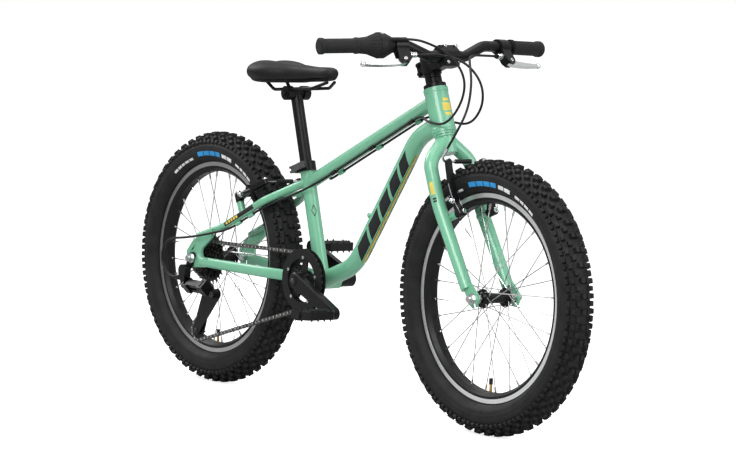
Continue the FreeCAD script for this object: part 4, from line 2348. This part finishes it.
def noodle_arm(axle, lean):
    """The arm that carries the bent cable guide and the bellows over the bare wire."""
    blank = brake_arm_blank(axle).mirror(ORIGIN, Y_AXIS)
    path = noodle_path(lean)
    start, direction = path_ends(path)[:2]
    ferrule = rod(start, start + direction * v.noodle_ferrule_length, v.noodle_ferrule_radius)
    whole = blank.fuse([tube(path, v.noodle_radius), ferrule])
    level = Vector(arm_depth(), 0, v.arm_head_z)
    boot = rod(level + Y_AXIS * v.boot_from, level + Y_AXIS * v.boot_to, v.boot_radius)
    bore_end = v.boot_to + v.overrun
    boot = boot.cut(rod(level + Y_AXIS * (v.boot_from - v.overrun), level + Y_AXIS * bore_end,
                        v.noodle_radius))
    return Part.Compound([largest(whole), boot])


def anchor_arm(axle):
    """The arm that the bare wire is clamped to by a bolt."""
    head = Vector(arm_depth(), v.arm_head_x, v.arm_head_z)
    wire = rod(head, Vector(head.x, v.wire_end, head.z), v.wire_radius)
    start = Vector(v.arm_from, head.y, head.z)
    bolt = rod(start, start + X_AXIS * (v.arm_to - v.arm_from + v.anchor_proud), v.anchor_radius)
    return largest(brake_arm_blank(axle).fuse([wire, bolt]))


def make_brake_arms():
    """The two brakes; the cable reaches the front one from the right and the rear one from the left."""
    brakes = ((front_brake_frame(), FRONT_AXLE, "front_brake_arm_left", "front_brake_arm_right",
               v.front_noodle_lean),
              (rear_brake_frame(), REAR_AXLE, "rear_brake_arm_right", "rear_brake_arm_left",
               v.rear_noodle_lean))
    for frame, axle, anchor_label, noodle_label, lean in brakes:
        local = frame.inverse().multVec(axle)
        keep(shaped(anchor_label, anchor_arm(local), frame), anchor_label)
        keep(shaped(noodle_label, noodle_arm(local, lean), frame), noodle_label)


# Cables. Each route is a list of places in the frame of the bicycle, between fixed ends.

CABLE_SIZES = {
    "cable_curve_share": 0.45,
    "guide_lead_in": 35,
    "guide_lead_out": 46,
    "cable_lead": 22,
}
add_sizes(CABLE_SIZES)
FRONT_BRAKE_ROUTE = ((307, 40, 742), (352, 3, 727), (390, -22, 690), (408, -44, 640))
FRONT_NOODLE_RUN = 44.0
REAR_BRAKE_ROUTE = ((305, -40, 742), (338, 0, 732), (374, 18, 692), (376, 22, 644), (330, 29, 603),
                    (266, 30, 607))
REAR_SEAT_ROUTE = ((-125, 40, 470),)
REAR_NOODLE_RUN = 52.0
SHIFT_ROUTE = ((302, -75, 768), (330, -30, 745), (352, -6, 700), (350, -10, 650), (322, -27, 602),
               (264, -30, 607))
SHIFT_SEAT_ROUTE = ((-150, -31, 433),)
SHIFT_LOOP_ROUTE = ((-385, -84, 330), (-430, -87, 321), (-475, -87, 314), (-527, -86, 309), (-551, -87, 285),
                    (-551, -87, 251), (-527, -86, 227))


def places(route):
    return [Vector(*place) for place in route]


def guide_line(side):
    """Where a cable comes on to the line of its guides and where it leaves it."""
    centres = guide_centres(side)
    along = (centres[-1] - centres[0]).normalize()
    return [centres[0] - along * v.guide_lead_in, centres[-1] + along * v.guide_lead_out]


def led_out(frame, end):
    """The mouth of a cable's fitting on the bar, and a place straight ahead of it."""
    return [frame.multVec(end), frame.multVec(end - Z_AXIS * v.cable_lead)]


def adjuster_lead(side):
    return led_out(lever_frame(side), Vector(v.adjuster_reach, 0, -v.perch_inner - v.adjuster_length))


def nozzle_lead():
    start = (twist_start() - c.twist_length - c.air_gap).value - v.shifter_drum / 2
    return led_out(grip_frame(RIGHT), Vector(0, v.nozzle_ahead, start - v.nozzle_length))


def noodle_entry(frame, lean, run):
    """A place straight above the open end of a bent guide, and that end."""
    start, direction = path_ends(noodle_path(lean))[:2]
    return [frame.multVec(start - direction * run), frame.multVec(start)]


def cable_points():
    """The corners of the three cables by name."""
    front = noodle_entry(front_brake_frame(), v.front_noodle_lean, FRONT_NOODLE_RUN)
    rear = noodle_entry(rear_brake_frame(), v.rear_noodle_lean, REAR_NOODLE_RUN)
    boss = REAR_AXLE + spot("cable_boss") - X_AXIS * v.cable_boss_length
    return {
        "front_brake_cable": adjuster_lead(LEFT) + places(FRONT_BRAKE_ROUTE) + front,
        "rear_brake_cable": (adjuster_lead(RIGHT) + places(REAR_BRAKE_ROUTE) + guide_line(LEFT)
                             + places(REAR_SEAT_ROUTE) + rear),
        "shift_cable": (nozzle_lead() + places(SHIFT_ROUTE) + guide_line(RIGHT) + places(SHIFT_SEAT_ROUTE)
                        + list(stay_cable_line()) + places(SHIFT_LOOP_ROUTE) + [boss]),
    }


def cable_radii(points):
    """As wide a curve at each corner as its two runs allow."""
    radii = []
    for before, corner, after in zip(points, points[1:], points[2:]):
        half_turn = (corner - before).getAngle(after - corner) / 2
        shorter = min((corner - before).Length, (after - corner).Length)
        radii.append(v.cable_curve_share * shorter / math.tan(half_turn))
    return radii


def make_cables():
    for name, points in cable_points().items():
        radii = cable_radii(points)
        path = bent_path(points, radii)
        cable = tube(path, v.housing_radius)
        section = math.pi * v.housing_radius ** 2
        print(name, "length %.1f" % path.Length, "least radius %.1f" % min(radii),
              "volume against section times length %.4f" % (cable.Volume / (section * path.Length)))
        keep(shaped(name, cable), name)


# The whole bicycle

def make_all():
    for make in (make_head_tube, make_headset, make_seat_tube, make_bracket_shell, make_down_tube,
                 make_top_tube,
                 make_dropouts):
        make()
    doc.recompute()
    for make in (make_chain_stays, make_seat_stays, make_rear_axle, make_bottom_bracket, make_seat_clamp,
                 make_seat_clamp_lever, make_seatpost, make_saddle, make_fork, make_front_axle,
                 make_headset_spacers, make_stem, make_handlebar, make_grips, make_shifter_twist_grip,
                 make_shifter_housing, make_brake_perches, make_wheels, make_cassette, make_chain,
                 make_derailleur, make_chainring, make_brake_arms, make_cables):
        make()
    for side in (LEFT, RIGHT):
        make_brake_lever(side)
        make_crank(side)
        make_pedal(side)
    doc.recompute()


def check_all():
    for thing in doc.Objects:
        if "Invalid" in thing.State or "Error" in thing.State:
            raise RuntimeError("%s is not up to date: %s" % (thing.Name, thing.State))
    for thing in subparts:
        if thing.Shape.isNull() or not thing.Shape.isValid():
            raise RuntimeError("%s has no valid shape" % thing.Label)


def write_all():
    os.makedirs("parts", exist_ok=True)
    for thing in subparts:
        thing.Shape.exportStep(os.path.join("parts", thing.Label + ".step"))


make_all()
check_all()
write_all()
